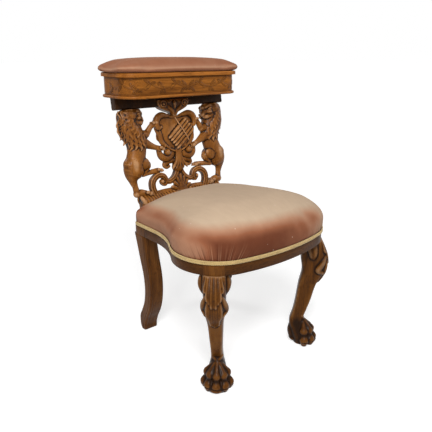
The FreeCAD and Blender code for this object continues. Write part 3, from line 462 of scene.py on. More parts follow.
def ball(centre, radii):
    """Ellipsoid as a stack of rings from pole to pole."""
    rise = np.linspace(-0.98, 0.98, 13) * math.pi / 2
    turn = full_turn(18)
    ring = np.cos(rise)[:, None]
    height = np.broadcast_to(np.sin(rise)[:, None], (len(rise), len(turn)))
    sphere = np.stack([ring * np.cos(turn), ring * np.sin(turn), height], 2)
    return np.asarray(centre, float) + sphere * np.asarray(radii, float)


def averaged(points, edges, rounds):
    """Points moved half way to the mean of their neighbours, as many times as asked."""
    count = np.bincount(edges.ravel(), minlength=len(points))[:, None]
    for _ in range(rounds):
        pulls = [np.bincount(edges[:, 0], points[edges[:, 1], k], len(points))
                 + np.bincount(edges[:, 1], points[edges[:, 0], k], len(points)) for k in range(3)]
        points = 0.5 * points + 0.5 * np.stack(pulls, 1) / count
    return points


def mesh_edges(mesh):
    """Numbers of the two points at each edge's ends."""
    edges = np.zeros(2 * len(mesh.edges), np.int32)
    mesh.edges.foreach_get("vertices", edges)
    return edges.reshape(-1, 2)


def mesh_normals(mesh):
    """Outward direction at each point."""
    normals = np.zeros(3 * len(mesh.vertices), np.float32)
    mesh.vertex_normals.foreach_get("vector", normals)
    return normals.reshape(-1, 3).astype(float)


def modified(mesh, kind, **settings):
    """The mesh as one modifier leaves it, under the same name."""
    name = mesh.name
    mesh.name = name + "_before"
    item = in_scene(name, mesh)
    modifier = item.modifiers.new(name, kind)
    for field, value in settings.items():
        setattr(modifier, field, value)
    bpy.context.view_layer.update()
    result = bpy.data.meshes.new_from_object(item.evaluated_get(bpy.context.evaluated_depsgraph_get()))
    result.name = name
    bpy.data.objects.remove(item)
    return result


def smooth_share(value, low, high):
    """0 below low, 1 above high, eased between."""
    t = np.clip((value - low) / (high - low), 0, 1)
    return t * t * (3 - 2 * t)


# darkening towards the foot and the rise over which it ends, and the dark stain and painted shade on faces
# that turn away
foot_darkening = 0.62
foot_darkening_rise = 30
side_stain_and_shade = 0.30


def carve(name, shells, voxel, ease=2, spread=14, depth=0.9, wide=0.35, darker_below=0, wear_and_light=None,
          front=None):
    """One carved solid: closed shells fused on a fine voxel grid, eased by averaging. The hollow attribute
    is how far a point lies under (+) or over (-) the surface averaged over a narrow and a wide stretch, as
    a share of depth; the finish reads it for wax and painted shade in the hollows and for golden crests.
    Below the given level it is raised, so the foot is darker towards the bottom, and where the given function
    asks it is lowered, for wear, painted light and painted highlights. Given a front direction, faces that
    turn away from it are darker, as dark stain and painted shade."""
    mesh = modified(shell_mesh(name, shells), "REMESH", mode="VOXEL", voxel_size=voxel * mm)
    edges = mesh_edges(mesh)
    points = averaged(mesh_points(mesh), edges, ease)
    set_points(mesh, points)
    near = averaged(points, edges, spread)
    broad = averaged(near, edges, 4 * spread)
    normals = mesh_normals(mesh)
    under = np.sum((near - points) * normals, axis=1) + wide * np.sum((broad - near) * normals, axis=1)
    # darker towards the bottom, below the given level
    low_share = np.clip((darker_below * mm - points[:, 2]) / (foot_darkening_rise * mm), 0, 1)
    hollow = under / (depth * mm) + foot_darkening * low_share
    # dark stain and painted shade on faces that turn away from the front
    if front is not None:
        facing = averaged(normals, edges, 4) @ np.asarray(front, float)
        hollow += side_stain_and_shade * smooth_share(-facing, -0.62, 0.05)
    # lighter where the given function asks: painted light on the leg's shaft, a painted highlight on the
    # lions, wear and painted light on the shield
    if wear_and_light:
        hollow = np.where(hollow < 0.2, np.minimum(hollow, -wear_and_light(points / mm)), hollow)
    store(mesh, "hollow", np.clip(hollow, -1, 1))
    store(mesh, "grain", points)
    mesh.shade_smooth()
    return mesh


# share of the leg's height, centre outward, half depth, half width, squareness of the section
leg_stations = [
    (1.00, 2, 25, 29, 5), (0.92, 6, 31, 30, 4), (0.83, 9, 37, 29, 3.2), (0.71, 10, 33, 27, 3.2),
    (0.58, -5, 26, 20.5, 5), (0.43, -15, 22.5, 17.5, 6), (0.32, -24, 20, 16, 5.5),
    (0.225, -33, 20, 17.5, 3.6), (0.15, -26, 25, 24, 2.6), (0.07, -9, 33, 31, 2.6), (0.003, -7, 31, 28, 2.6),
]
leg_run = flow(leg_stations, 180)


def leg_at(z):
    """Centre, half depth, half width and squareness of the leg's section at a height."""
    share = np.asarray(z, float) / rail_bottom
    return [np.interp(share, leg_run[::-1, 0], leg_run[::-1, k]) for k in range(1, 5)]


def leg_shaft():
    """Superellipses stacked up the leg, their half axes and squareness taken from the stations."""
    z = rail_bottom * leg_run[::-1, 0]
    centre, half_depth, half_width, power = [column[:, None] for column in leg_at(z)]
    turn = full_turn(88)[None]
    power_sum = np.abs(np.cos(turn) / half_depth) ** power + np.abs(np.sin(turn) / half_width) ** power
    radius = power_sum ** (-1 / power)
    sway = leg_sway * (1 - z[:, None] / rail_bottom)
    height = np.broadcast_to(z[:, None], radius.shape)
    return np.stack([centre + radius * np.cos(turn), sway + radius * np.sin(turn), height], 2)


def on_knee(z, y, lift):
    """Point on the leg's outward face at a height and a distance aside, lifted off the face."""
    centre, half_depth, half_width, power = leg_at(z)
    rest = np.maximum(1 - np.abs(np.asarray(y) / half_width) ** power, 0.02)
    ahead = centre + half_depth * rest ** (1 / power) + lift
    return np.array([ahead, y + leg_sway * (1 - z / rail_bottom), z])


def knee_leaf(steps, **shape):
    """Leaf rib on the knee through steps of height, distance aside, lift and radius."""
    return limb([(*on_knee(z, y, lift), radius) for z, y, lift, radius in steps], facing=(1, 0, 0), **shape)


# reach from the paw's middle, height and radius along a toe, and where the paw's middle lies
toe = [(-13, 94, 4), (-2, 80, 6.5), (9, 68, 8), (19, 57, 9.5), (25, 46, 13.5), (28, 34, 9), (33, 19, 13.5),
       (32, 8, 10)]
toe_turns = np.radians([-80, -40, 0, 40, 80])
paw_x = -13


def front_leg_shells():
    """Closed shells of one leg, outward along +X: shaft, acanthus in two tiers, ears and paw."""
    shells = [leg_shaft()]
    # upper tier: a fan of ribs from the rail down over the knee, their ends curled outward
    for rib, y in enumerate(np.linspace(-23, 23, 9)):
        tip = 306 - 36 * (1 - (y / 23) ** 2) - 4 * (rib % 2)
        lift = 1.2 * (rib % 2)
        rib_steps = [(341, 0.80 * y, lift, 2.4), (325, 0.90 * y, 1.2 + lift, 3.0),
                     (0.5 * (325 + tip), y, 2.6 + lift, 3.4), (tip + 4, 1.02 * y, 4.2 + lift, 3.2),
                     (tip, y, 5.4 + lift, 2.2)]
        shells.append(knee_leaf(rib_steps, sides=10))
    # lower tier: two round side lobes and a tongue of narrow ribs
    for side in (-1, 1):
        shells.append(knee_leaf([(292, side * 20, 0, 5), (272, side * 26, 0, 8), (252, side * 27, -3, 9),
                                 (241, side * 21, -1, 6)]))
        shells.append(knee_leaf([(286, side * 13, 1, 4.5), (262, side * 17, 2, 5), (243, side * 17, 2, 4.5),
                                 (230, side * 14, 1.5, 3.5)]))
        # ear at the knee's side: a scroll that rolls out from under the rail
        shells.append(limb([(2, side * 22, 341, 10), (6, side * 31, 326, 10), (8, side * 32, 309, 9.5),
                            (7, side * 26, 292, 8), (4, side * 20, 281, 6)], facing=(1, 0, 0)))
        shells.append(limb([(-8, side * 26, 336, 7), (-4, side * 35, 318, 7.5), (0, side * 33, 301, 6.5),
                            (2, side * 27, 290, 5)], facing=(1, 0, 0)))
    for y in (-8, -4, 0, 4, 8):
        tip = 199 + 0.9 * abs(y)
        shells.append(knee_leaf([(292, 1.3 * y, 1, 3.2), (262, 1.5 * y, 2.6, 3.8), (232, 1.5 * y, 2.2, 3.6),
                                 (210, 1.25 * y, 1.6, 3.2), (tip, y, 0.8, 2.4)], sides=10))
    # paw: sole, heel and five thick toes that run down from the ankle over a knuckle to a round tip
    sole = [(-34, leg_sway, 14, 19), (-8, leg_sway, 14, 27), (10, leg_sway, 12, 23)]
    shells.append(limb(sole, 0.55, (0, 0, 1)))
    heel = [(-40, leg_sway, 60, 14), (-42, leg_sway, 38, 16), (-36, leg_sway, 16, 16)]
    shells.append(limb(heel, facing=(-1, 0, 0)))
    for turn in toe_turns:
        knots = [(paw_x + reach * math.cos(turn), leg_sway + reach * math.sin(turn), z, radius)
                 for reach, z, radius in toe]
        shells.append(limb(knots, facing=(0, 0, 1), count=34, sides=18))
    return shells


def leg_front_light(points):
    """The plain shaft below the knee is painted golden on its outward face, as painted light."""
    ahead = (np.abs(points[:, 0]) - abs(leg_axis[0])) * math.cos(belly_turn)
    ahead -= (points[:, 1] - leg_axis[1]) * math.sin(belly_turn) + leg_at(points[:, 2])[0]
    shaft = smooth_share(points[:, 2], 92, 125) * (1 - smooth_share(points[:, 2], 200, 225))
    return 0.5 * shaft * smooth_share(ahead, 5, 17) - 2 * (1 - shaft)


leg_voxel = 1.5
paw_height = 95
front_post_depth = 47
leg_walnut = walnut("leg_walnut", depth=0.48, carved=True, gloss=0.08)
post_walnut = walnut("post_walnut", depth=0.50)
left_leg_shells = []
for shell in front_leg_shells():
    level = leg_axis + shell[..., :1] * outward + shell[..., 1:2] * sideways
    left_leg_shells.append(np.concatenate([level, np.maximum(shell[..., 2:], 0.05)], 2))
for side, hand in ((-1, "left"), (1, "right")):
    leg_shells = [shell * [-side, 1, 1] for shell in left_leg_shells]
    leg_node = "front_%s_leg" % hand
    # the leg is darker towards the paw, and its shaft's outward face is painted golden as painted light
    leg_mesh = carve(leg_node + "_carved", leg_shells, leg_voxel, darker_below=paw_height, wear_and_light=leg_front_light)
    place_piece(leg_mesh, leg_walnut, [leg_node])
    post_ends = sorted(belly_place(side, belly_turn + share * post_half_turn) for share in (-1, 1))
    rings, along = frame_board(*post_ends, front_post_depth)
    post = shell_mesh(leg_node + "_post", [rings])
    store(post, "grain", board_grain(rings, along, False))
    place_piece(post, post_walnut)


# Rear legs: plain sabre legs sawn from the plank, leaning inward and kicked to the rear at the foot.
# A quirked bead runs down the front outer edge, and each leg's post is the seat frame's rear corner.
rear_leg_width = 48
rear_leg_lean = 19
# share of the leg's height, front and rear faces behind the post's front, rounding of the edges
rear_stations = [
    (1.00, 0, 70, 20), (0.90, 0, 59, 14), (0.75, -1, 44, 7), (0.60, -6, 33, 5), (0.45, -3, 34, 5),
    (0.32, 7, 45, 5), (0.22, 22, 63, 5), (0.145, 37, 79, 6), (0.065, 49, 83, 7), (0.02, 52, 80, 7),
    (0.002, 54, 77, 7),
]


def round_rectangle(low, high, rounding, count):
    """Points at even steps round a rectangle with round corners; the first lies at its low-low corner."""
    turn = np.linspace(0, math.pi / 2, 9)
    centres = [(low[0] + rounding, low[1] + rounding, 1.25), (high[0] - rounding, low[1] + rounding, 1.5),
               (high[0] - rounding, high[1] - rounding, 0), (low[0] + rounding, high[1] - rounding, 0.5),
               (low[0] + rounding, low[1] + rounding, 1.0)]
    bends = []
    for i, (x, y, start) in enumerate(centres):
        angles = start * math.pi + (turn / 2 if i in (0, 4) else turn)
        bends.append(np.column_stack([x + rounding * np.cos(angles), y + rounding * np.sin(angles)]))
    loop = np.concatenate(bends)
    reach = reach_along(loop)
    even = np.linspace(0, reach[-1], count, endpoint=False)
    points = np.column_stack([np.interp(even, reach, loop[:, k]) for k in (0, 1)])
    corner_distance = np.minimum(even, reach[-1] - even)
    return points, corner_distance


bead_width = 8.5
quirk_depth = 1.3


def rear_leg_rings():
    """Round-cornered rectangles stacked up the leg; grooves beside the front outer corner make the bead."""
    rings = []
    for share, front, rear, rounding in flow(rear_stations, 120):
        outer = -rear_half_width + (1 - share) * rear_leg_lean
        low = (outer, rear_post_front + front)
        high = (outer + rear_leg_width, rear_post_front + rear)
        points, distance = round_rectangle(low, high, max(min(rounding, 20), 4), 132)
        middle = np.array([(low[0] + high[0]) / 2, (low[1] + high[1]) / 2])
        quirk = quirk_depth * np.exp(-((distance - bead_width) / 1.5) ** 2) * min(1, 6 * (1 - share))
        points = points + unit(middle - points) * quirk[:, None]
        rings.append(at_level(points, share * rail_bottom))
    return np.stack(rings)


rear_leg_walnut = walnut("rear_leg_walnut", "z", 0.46)
for side, hand in ((-1, "left"), (1, "right")):
    leg_node = "rear_%s_leg" % hand
    post_ends = sorted([plan_place(side * rear_half_width, rear_post_front),
                        plan_place(side * rear_post_inner, frame_rear)])
    rear_leg_shell = rear_leg_rings() * [-side, 1, 1]
    post_rings = frame_board(*post_ends, rail_thickness)[0]
    rear_leg = shell_mesh(leg_node + "_wood", [rear_leg_shell])
    place_piece(rear_leg, rear_leg_walnut, [leg_node])
    place_piece(shell_mesh(leg_node + "_post", [post_rings]), rear_leg_walnut)


# Glue blocks and their screws: beech blocks in the frame's corners, each held by two countersunk steel
# screws. They show only from below.
def beech(name):
    """Pale close-grained beech: fine stretched noise with short dark flecks."""
    material, add, shader = new_material(name)
    place = add("TexCoord").outputs["Object"]
    streak = stretched_noise(add, place, (160, 14, 160), Detail=4)
    fleck = stretched_noise(add, place, (700, 90, 700), Detail=1)
    wood = colour_ramp(add, streak, ((0.0, (0.25, 0.13, 0.06)), (1.0, (0.50, 0.31, 0.16))))
    tone = mixed_colour(add, ranged(add, fleck, 0.30, 0.38, 0.5, 0.0), wood, (0.16, 0.075, 0.03, 1))
    feed(shader, Base_Color=tone, Normal=bumped(add, streak, 0.2, 0.0003), Roughness=0.62)
    return material


def old_metal(name, bright, dull, shine):
    """Aged metal: colour and roughness drift between bright and tarnished patches, with fine scratches."""
    material, add, shader = new_material(name)
    place = add("TexCoord").outputs["Object"]
    patch = add("TexNoise", Vector=place, Scale=120, Detail=5, Roughness=0.65).outputs[0]
    share = ranged(add, patch, 0.40, 0.62)
    scratch = stretched_noise(add, place, (300, 2600, 2600))
    rough = ranged(add, share, 0.0, 1.0, shine, shine + 0.3)
    feed(shader, Base_Color=mixed_colour(add, share, bright, dull), Metallic=1.0, Roughness=rough,
         Normal=bumped(add, scratch, 0.15, 0.0001))
    return material


screw_steel = old_metal("screw_steel", (0.45, 0.43, 0.40, 1), (0.16, 0.13, 0.10, 1), 0.32)
finish_node("corner_blocks", beech("block_beech"))
finish_node("block_screws", screw_steel)


# Seat webbing: four jute strips across and four lengthwise, woven over and under each other
# and tacked to the tops of the rails; the pad is built up on them.
webbing_width = 50
webbing_thickness = 1.8
tack_line = 7
strips_across = np.linspace(-seat_front + 90, frame_rear - rail_thickness - 61.5, 4)
strips_lengthwise = np.linspace(-rear_half_width + 75, rear_half_width - 75, 4)


def jute(name, warp, weft, dark, pale, slack=0.55):
    """Plain jute weave: two crossed waves on Object coordinates for warp and weft, with uneven yarn."""
    material, add, shader = new_material(name)
    place = add("TexCoord").outputs["Object"]
    uneven = add("TexNoise", Vector=place, Scale=90, Detail=3).outputs["Color"]
    bent = mixed_colour(add, 0.0012, place, uneven, "LINEAR_LIGHT")
    across, along = [add("TexWave", {"wave_type": "BANDS", "bands_direction": axis}, Vector=bent, Scale=scale,
                         Detail=1).outputs[1] for axis, scale in (("X", warp), ("Y", weft))]
    thread = calculated(add, "MAXIMUM", across, along)
    mottle = add("TexNoise", Vector=place, Scale=35, Detail=4).outputs[0]
    tone = mixed_colour(add, mixed_value(add, slack, thread, mottle), dark, pale)
    feed(shader, Base_Color=tone, Normal=bumped(add, thread, 0.6, 0.0006), Roughness=0.92, Sheen_Weight=0.15)
    return material


def webbing_strip(middle, lengthwise, start, end, crossings, phase):
    """Flat strap: a thin rectangle along its length, riding over and under the strips that cross it."""
    run = np.linspace(start, end, 120)
    weave = np.zeros_like(run)
    for i, crossing in enumerate(crossings):
        weave += (-1) ** (i + phase) * np.exp(-((run - crossing) / 30) ** 4)
    z = rail_top + 2.0 + 1.05 * weave
    half = webbing_width / 2
    profile = [(-half, -0.5), (-half, 0.5), (-0.4 * half, 0.5), (0.4 * half, 0.5), (half, 0.5), (half, -0.5),
               (0.4 * half, -0.5), (-0.4 * half, -0.5)]
    rings = [np.column_stack([run, np.full(len(run), middle + aside), z + webbing_thickness * rise])
             for aside, rise in profile]
    rings = np.stack(rings, 1)
    return rings[..., [1, 0, 2]] if lengthwise else rings


def plan_half_width(y):
    """Half width of the seat frame at a distance from front to rear, along the webbing's edge line."""
    line = seat_plan(tack_line)
    left = line[line[:, 0] <= 0]
    front_to_rear = left[np.argsort(left[:, 1])]
    return np.interp(y, front_to_rear[:, 1], -front_to_rear[:, 0])


def plan_front(x):
    """Front edge of the seat frame at a distance aside, along the webbing's edge line."""
    return bow_y - math.sqrt((bow_radius - tack_line) ** 2 - x ** 2)


jute_web = jute("jute_webbing", 190, 330, (0.12, 0.07, 0.035, 1), (0.42, 0.30, 0.17, 1))
strip_rear = frame_rear - rail_thickness - 9
webbing = {"webbing_across": (False, strips_across), "webbing_lengthwise": (True, strips_lengthwise)}
for label, (lengthwise, middles) in webbing.items():
    strips = []
    for i, middle in enumerate(middles):
        if lengthwise:
            front = plan_front(middle) + 1
            strips.append(webbing_strip(middle, True, front, strip_rear, strips_across, i + 1))
        else:
            half = min(plan_half_width(middle - 24), plan_half_width(middle), plan_half_width(middle + 24))
            strips.append(webbing_strip(middle, False, -half, half, strips_lengthwise, i))
    place_piece(shell_mesh(label + "_jute", strips), jute_web, [label])


# Hessian: one cut of open jute cloth stretched over the webbing, under the stuffing.
# It is tacked round the rails' tops and sags a little between the strips.
hessian_level = 404.6
hessian_rear = frame_rear - rail_thickness - 7.5
hessian_rim = seat_plan(tack_line, rear=hessian_rear, corner=6)
rim_middle = np.array([0, -70])
spokes = np.linspace(0.01, 1, 46)
sheet_plan = rim_middle + spokes[:, None, None] * (hessian_rim - rim_middle)
dip = -0.35 * np.cos(sheet_plan[..., 0] / 18) * np.cos(sheet_plan[..., 1] / 22) * (1 - spokes[:, None] ** 4)
top_side = np.dstack([sheet_plan, hessian_level + dip])
under_side = top_side - [0, 0, 0.7]
hessian_mesh = shell_mesh("seat_hessian_cloth", [np.concatenate([under_side, top_side[::-1]])])
hessian_jute = jute("open_hessian", 420, 420, (0.10, 0.06, 0.03, 1), (0.46, 0.34, 0.20, 1))
hessian = place_piece(hessian_mesh, hessian_jute, ["seat_hessian"])


# Seat pad: stuffing under one piece of velvet, drawn down over the rails and gathered at the front corners.
# The cloth is swelled by a pressure simulation; its pile is beige on top and rosier below, partly from real
# fading and partly as painted light and sheen.
pad_height = 79
pad_bulge = 7
pad_rear = frame_rear - rail_thickness - 1.5
pad_tilt = math.radians(4.5)
pad_pivot = (pad_rear - seat_front) / 2
velvet_mass = 0.35
stuffing_pressure = 4.0
# the crown's flat top starts at this inset
crown_inset = 116
# share of the pad's height above the rails, inset of the outline
pad_stations = [(0.06, -0.6 * pad_bulge), (0.17, -pad_bulge), (0.28, -0.6 * pad_bulge), (0.39, 4), (0.50, 14),
                (0.61, 28), (0.71, 45), (0.80, 65), (0.89, 91), (0.96, crown_inset), (1.0, 160)]


def seat_pad_rings():
    """The outline carried upward: a straight skirt, a swell above the rails, then a crown falling to the
    rear. The higher a ring, the more it is drawn towards a plain oval, so the waist dies out."""
    levels = [(cover_edge + 0.3, 0.4, 0), (cover_edge + 8, -0.2, 0), (cover_edge + 16, -0.13 * pad_bulge, 0)]
    levels += [(rail_top + share * pad_height, inset, share) for share, inset in pad_stations]
    rings = []
    for z, inset, share in levels:
        drawn = min(inset, crown_inset)
        rear = max(pad_rear - 0.55 * max(drawn, 0), waist_y + 45)
        ring = seat_plan(drawn, rear=rear, corner=8 + max(drawn, 0) / 4)
        if inset > crown_inset:
            middle = ring.mean(axis=0)
            ring = middle + (ring - middle) * 0.45
        reach = np.ptp(ring, axis=0) / 2
        middle = ring.min(axis=0) + reach
        turn = np.arctan2((ring[:, 1] - middle[1]) / reach[1], ring[:, 0] / reach[0])
        radius = (np.abs(np.cos(turn)) ** 2.5 + np.abs(np.sin(turn)) ** 2.5) ** (-1 / 2.5)
        oval = middle + reach * radius[:, None] * np.column_stack([np.cos(turn), np.sin(turn)])
        ring = ring + 0.65 * smooth_share(share, 0.25, 0.9) * (oval - ring)
        slope = (ring[:, 1] - pad_pivot) * math.sin(-share * pad_tilt)
        rings.append(at_level(ring, z + slope))
    return np.stack(rings)


def swelled(name, rings, held_below, most, voxel=6.0, frames=20):
    """Pad blown up like its stuffing does: voxel remesh, cloth under pressure with everything below a
    height held, each point's travel capped, then the resting shape kept as the mesh."""
    mesh = modified(shell_mesh(name, [rings]), "REMESH", mode="VOXEL", voxel_size=voxel * mm)
    edges = mesh_edges(mesh)
    start = averaged(mesh_points(mesh), edges, 4)
    set_points(mesh, start)
    moved = start
    pad = in_scene(name + "_form", mesh)
    held = pad.vertex_groups.new(name="held")
    held.add(np.flatnonzero(start[:, 2] < held_below * mm).tolist(), 1.0, "REPLACE")
    cloth = pad.modifiers.new("cloth", "CLOTH")
    cloth.settings.quality = 3
    cloth.settings.mass = velvet_mass
    cloth.settings.use_pressure = True
    cloth.settings.uniform_pressure_force = stuffing_pressure
    cloth.settings.effector_weights.gravity = 0.0
    cloth.settings.vertex_group_mass = "held"
    cloth.point_cache.frame_start = 1
    cloth.point_cache.frame_end = frames
    for step in range(1, frames + 1):
        bpy.context.scene.frame_set(step)
    resting = pad.evaluated_get(bpy.context.evaluated_depsgraph_get())
    moved = mesh_points(bpy.data.meshes.new_from_object(resting))
    bpy.data.objects.remove(pad)
    bpy.context.scene.frame_set(1)
    travel = averaged(moved - start, edges, 8)
    length = np.linalg.norm(travel, axis=1)[:, None]
    capped = averaged(start + travel * np.minimum(1, most * mm / np.maximum(length, 1e-9)), edges, 3)
    set_points(mesh, capped)
    return mesh


def halved(mesh):
    """The mesh after one subdivision."""
    return modified(mesh, "SUBSURF", levels=1, render_levels=1)


# colours of velvet from rose to beige by fading and painted light, then painted shade in the folds' creases,
# painted light on their ridges, of lint and of the sheen
velvet_stops = ((0.04, (0.128, 0.038, 0.0175)), (0.30, (0.260, 0.094, 0.046)), (0.60, (0.40, 0.208, 0.125)),
                (0.93, (0.490, 0.365, 0.255)))
fold_painted_shade = (0.075, 0.021, 0.010, 1)
fold_painted_light = (0.40, 0.21, 0.125, 1)
lint_shade = (0.60, 0.47, 0.38, 1)
sheen_shade = (0.95, 0.76, 0.62, 1)


def velvet(name):
    """Old cotton velvet: rose pile turning beige where the piece's fade and painted light attribute is high,
    partly real fading and partly painted light and sheen, mottled and brushed by noise, with folds across its
    fan attribute where creased, painted darker in their creases and lighter on their ridges as painted shade
    and light, fine pile, sheen and a few pale specks of lint."""
    material, add, shader = new_material(name)
    place = add("TexCoord").outputs["Object"]
    crease = read_attribute(add, "crease")
    fan = read_attribute(add, "fan")
    fold = add("TexNoise", {"noise_dimensions": "1D"}, W=fan, Scale=1.0, Detail=1).outputs[0]
    shadow = calculated(add, "MULTIPLY", ranged(add, fold, 0.52, 0.36, 0.0, 0.7), crease)
    light = calculated(add, "MULTIPLY", ranged(add, fold, 0.54, 0.70, 0.0, 0.5), crease)
    drift = add("TexNoise", Vector=place, Scale=14, Detail=5, Roughness=0.6).outputs[0]
    brushed = stretched_noise(add, place, (70, 22, 50), Detail=4)
    level = add("Math", {"operation": "ADD", "use_clamp": True}, i0=read_attribute(add, "faded"),
                i1=calculated(add, "MULTIPLY_ADD", drift, 0.22, -0.11)).outputs[0]
    nap = grey(add, ranged(add, brushed, 0.3, 0.7, 0.97, 1.03))
    tone = mixed_colour(add, 1.0, colour_ramp(add, level, velvet_stops), nap, "MULTIPLY")
    # painted shade in the folds' creases and painted light on their ridges
    tone = mixed_colour(add, shadow, tone, fold_painted_shade)
    tone = mixed_colour(add, light, tone, fold_painted_light)
    lint = add("TexVoronoi", {"feature": "F1"}, Vector=place, Scale=34, Randomness=1).outputs[0]
    tone = mixed_colour(add, ranged(add, lint, 0.060, 0.040, 0.0, 0.75), tone, lint_shade)
    pile = add("TexNoise", Vector=place, Scale=1500, Detail=2).outputs[0]
    ruffle = calculated(add, "MULTIPLY_ADD", brushed, 0.3, pile)
    feed(shader, Base_Color=tone, Normal=bumped(add, ruffle, 0.35, 0.0006), Roughness=0.88,
         Specular_IOR_Level=0.06, Sheen_Weight=0.10, Sheen_Roughness=0.45, Sheen_Tint=sheen_shade)
    return material


# the folds' middle and spread round a front corner in degrees, the height where they end, and their depth
gather_turn = 50
gather_spread = 30
gather_rise = 52
gather_depth = 1.5


def gathers(points, normals):
    """Puckers above the gimp: folds fanning up from the front corners, deepest at the edge and dying out
    above it. Returns how far each point moves outward in millimetres, its place across the fan, and how
    strong the folds are."""
    x, y, z = (points / mm).T
    turn = np.degrees(np.arctan2(-(y - belly_y), np.abs(x) - belly_x))
    rise = np.clip((z - cover_edge - 6) / gather_rise, 0, 1)
    fan = (turn - gather_turn) * (1 - 0.35 * rise)
    bell = np.exp(-((turn - gather_turn) / gather_spread) ** 2)
    near = bell * (np.abs(x) > belly_x * 0.7) * (y < belly_y + 30)
    steep = np.clip(1.3 - np.abs(normals[:, 2]) * 1.6, 0, 1)
    fold = np.cos(fan * 1.05) + 0.5 * np.cos(fan * 0.61 + 1.1) + 0.3 * np.cos(fan * 1.9 + 0.4)
    fade = (1 - rise) ** 1.3 * near * steep
    return gather_depth * fold * fade, 0.6 * fan, fade


skirt_end = 142.5
# how far in from the rails' faces the velvet's skirt reaches
skirt_inner = rebate - 0.6


def over_rails(points):
    """The pad's underside set on what carries it: the velvet's skirt hangs outside the rails, and within it
    the pad lies on their tops and on the hessian. Behind the skirt's end the velvet stops on the rails."""
    plan = points[:, :2] / mm
    z = points[:, 2] / mm
    under = z < cover_edge + 2.2
    rim = seat_plan(0, rear=pad_rear, corner=8)
    apart = plan[under][:, None] - rim[None]
    gap = np.hypot(apart[..., 0], apart[..., 1])
    nearest = rim[np.argmin(gap, axis=1)]
    reach = gap.min(axis=1)
    inner = np.where(reach > rail_thickness + 3, hessian_level + 1.2, rail_top + 0.4)
    z[under] = np.where(reach > skirt_inner, inner, cover_edge + 0.3)
    drawn = (reach > skirt_inner) & (reach < 6)
    inward = (plan[under] - nearest) / np.maximum(reach, 0.1)[:, None]
    plan[under] = np.where(drawn[:, None], nearest + inward * (rebate - 0.3), plan[under])
    z = np.where(plan[:, 1] > skirt_end, np.maximum(z, rail_top + 0.4), z)
    return np.column_stack([plan, z]) * mm


seat_velvet = velvet("seat_velvet")
seat_mesh = halved(swelled("seat_pad_velvet", seat_pad_rings(), rail_top - 2, 7))
normals = mesh_normals(seat_mesh)
points = over_rails(mesh_points(seat_mesh))
push, fan, crease = gathers(points, normals)
points += normals * push[:, None] * mm
set_points(seat_mesh, points)
aside = averaged(normals, mesh_edges(seat_mesh), 40)[:, 0]
# the pile is lighter above, on the right half and at the far left, partly real fading and partly painted
# light and sheen; the front's left half keeps its full colour
on_side = np.clip(smooth_share(-aside, 0.55, 0.95) + 1.5 * smooth_share(aside, -0.1, 0.4), 0, 1.5)
crown = pad_height + (pad_pivot - points[:, 1] / mm) * math.sin(pad_tilt)
top_fade_and_sheen = smooth_share((points[:, 2] / mm - rail_top) / crown, 0.24, 0.80)
store(seat_mesh, "faded", np.clip(0.05 + 0.46 * on_side * (1 - top_fade_and_sheen) + 0.93 * top_fade_and_sheen, 0, 1))
store(seat_mesh, "crease", np.clip(1.6 * crease, 0, 1))
store(seat_mesh, "fan", fan)
seat_mesh.shade_smooth()
seat_pad = place_piece(seat_mesh, seat_velvet, ["seat_cover", "seat_stuffing"])


# Gimp: a flat gold braid glued over the velvet's raw edge, round the front and sides of the seat.
# Three cords are plaited, each swinging from edge to edge as it passes over and under the others.
gimp_width = 11.5
gimp_level = cover_edge + 3
gimp_stand = 2.1
plait_length = 13
cord_half_width = 2.0
cord_half_depth = 1.25
cord_rise = 0.75


def plait(phase, places, along):
    """One cord: an ellipse carried along a sideways sine and an over-and-under sine of twice its pace."""
    swing = 2 * math.pi * along / plait_length + phase
    z = gimp_level + (gimp_width / 2 - 1.9) * np.sin(swing)
    stand = gimp_stand + cord_rise * np.sin(2 * swing)
    plan = plan_run(0, places)
    step = np.gradient(plan, axis=0)
    out = unit(np.column_stack([-step[:, 1], step[:, 0]]))
    out *= -np.sign(np.sum(out * (rim_middle - plan), axis=1))[:, None]
    centre = np.column_stack([plan + out * stand[:, None], z])
    tangent = unit(np.gradient(centre, axis=0))
    across = unit(np.cross(tangent, at_level(out, 0.0)))
    return rings_round(centre, cord_half_width * across, cord_half_depth * np.cross(tangent, across), 8)


def gold_braid(name):
    """Twisted gold-yellow silk: fine ply lines across each cord, dulled by dust in patches."""
    material, add, shader = new_material(name)
    place = add("TexCoord").outputs["Object"]
    ply = add("TexWave", {"wave_type": "BANDS", "bands_direction": "DIAGONAL"}, Vector=place, Scale=420,
              Distortion=2.0, Detail=2).outputs[1]
    dust = add("TexNoise", Vector=place, Scale=60, Detail=4).outputs[0]
    silk = ((0.25, (0.30, 0.19, 0.058)), (0.75, (0.66, 0.47, 0.19)))
    feed(shader, Base_Color=colour_ramp(add, mixed_value(add, 0.45, ply, dust), silk),
         Normal=bumped(add, ply, 0.5, 0.0004), Roughness=0.55, Sheen_Weight=0.2)
    return material


gimp_ends = [plan_place(side * rear_half_width, pad_rear - 8) for side in (-1, 1)]
gimp_places = even_places(*gimp_ends, 1.1)
gimp_along = np.interp(gimp_places, np.arange(len(outline)), outline_reach)
cords = [plait(phase, gimp_places, gimp_along) for phase in np.radians([0, 120, 240])]
place_piece(shell_mesh("seat_gimp_braid", cords), gold_braid("gold_braid"), ["seat_gimp"])


# Base rail of the back: a walnut rail doweled to the rear seat rail, with leaves carved along its front and
# rear. The carved back is drawn upright on the carver's grid and leans to the rear as one.
back_rake = math.radians(8.9)
back_half_width = 202
base_top = 44
base_half_width = 152
back_rail_half = 13
top_rail_height = 36
box_level = 740.5
back_total = (box_level - rail_top) / math.cos(back_rake)
opening_top = back_total - top_rail_height
opening = opening_top - base_top
back_foot = frame_rear - rail_thickness / 2


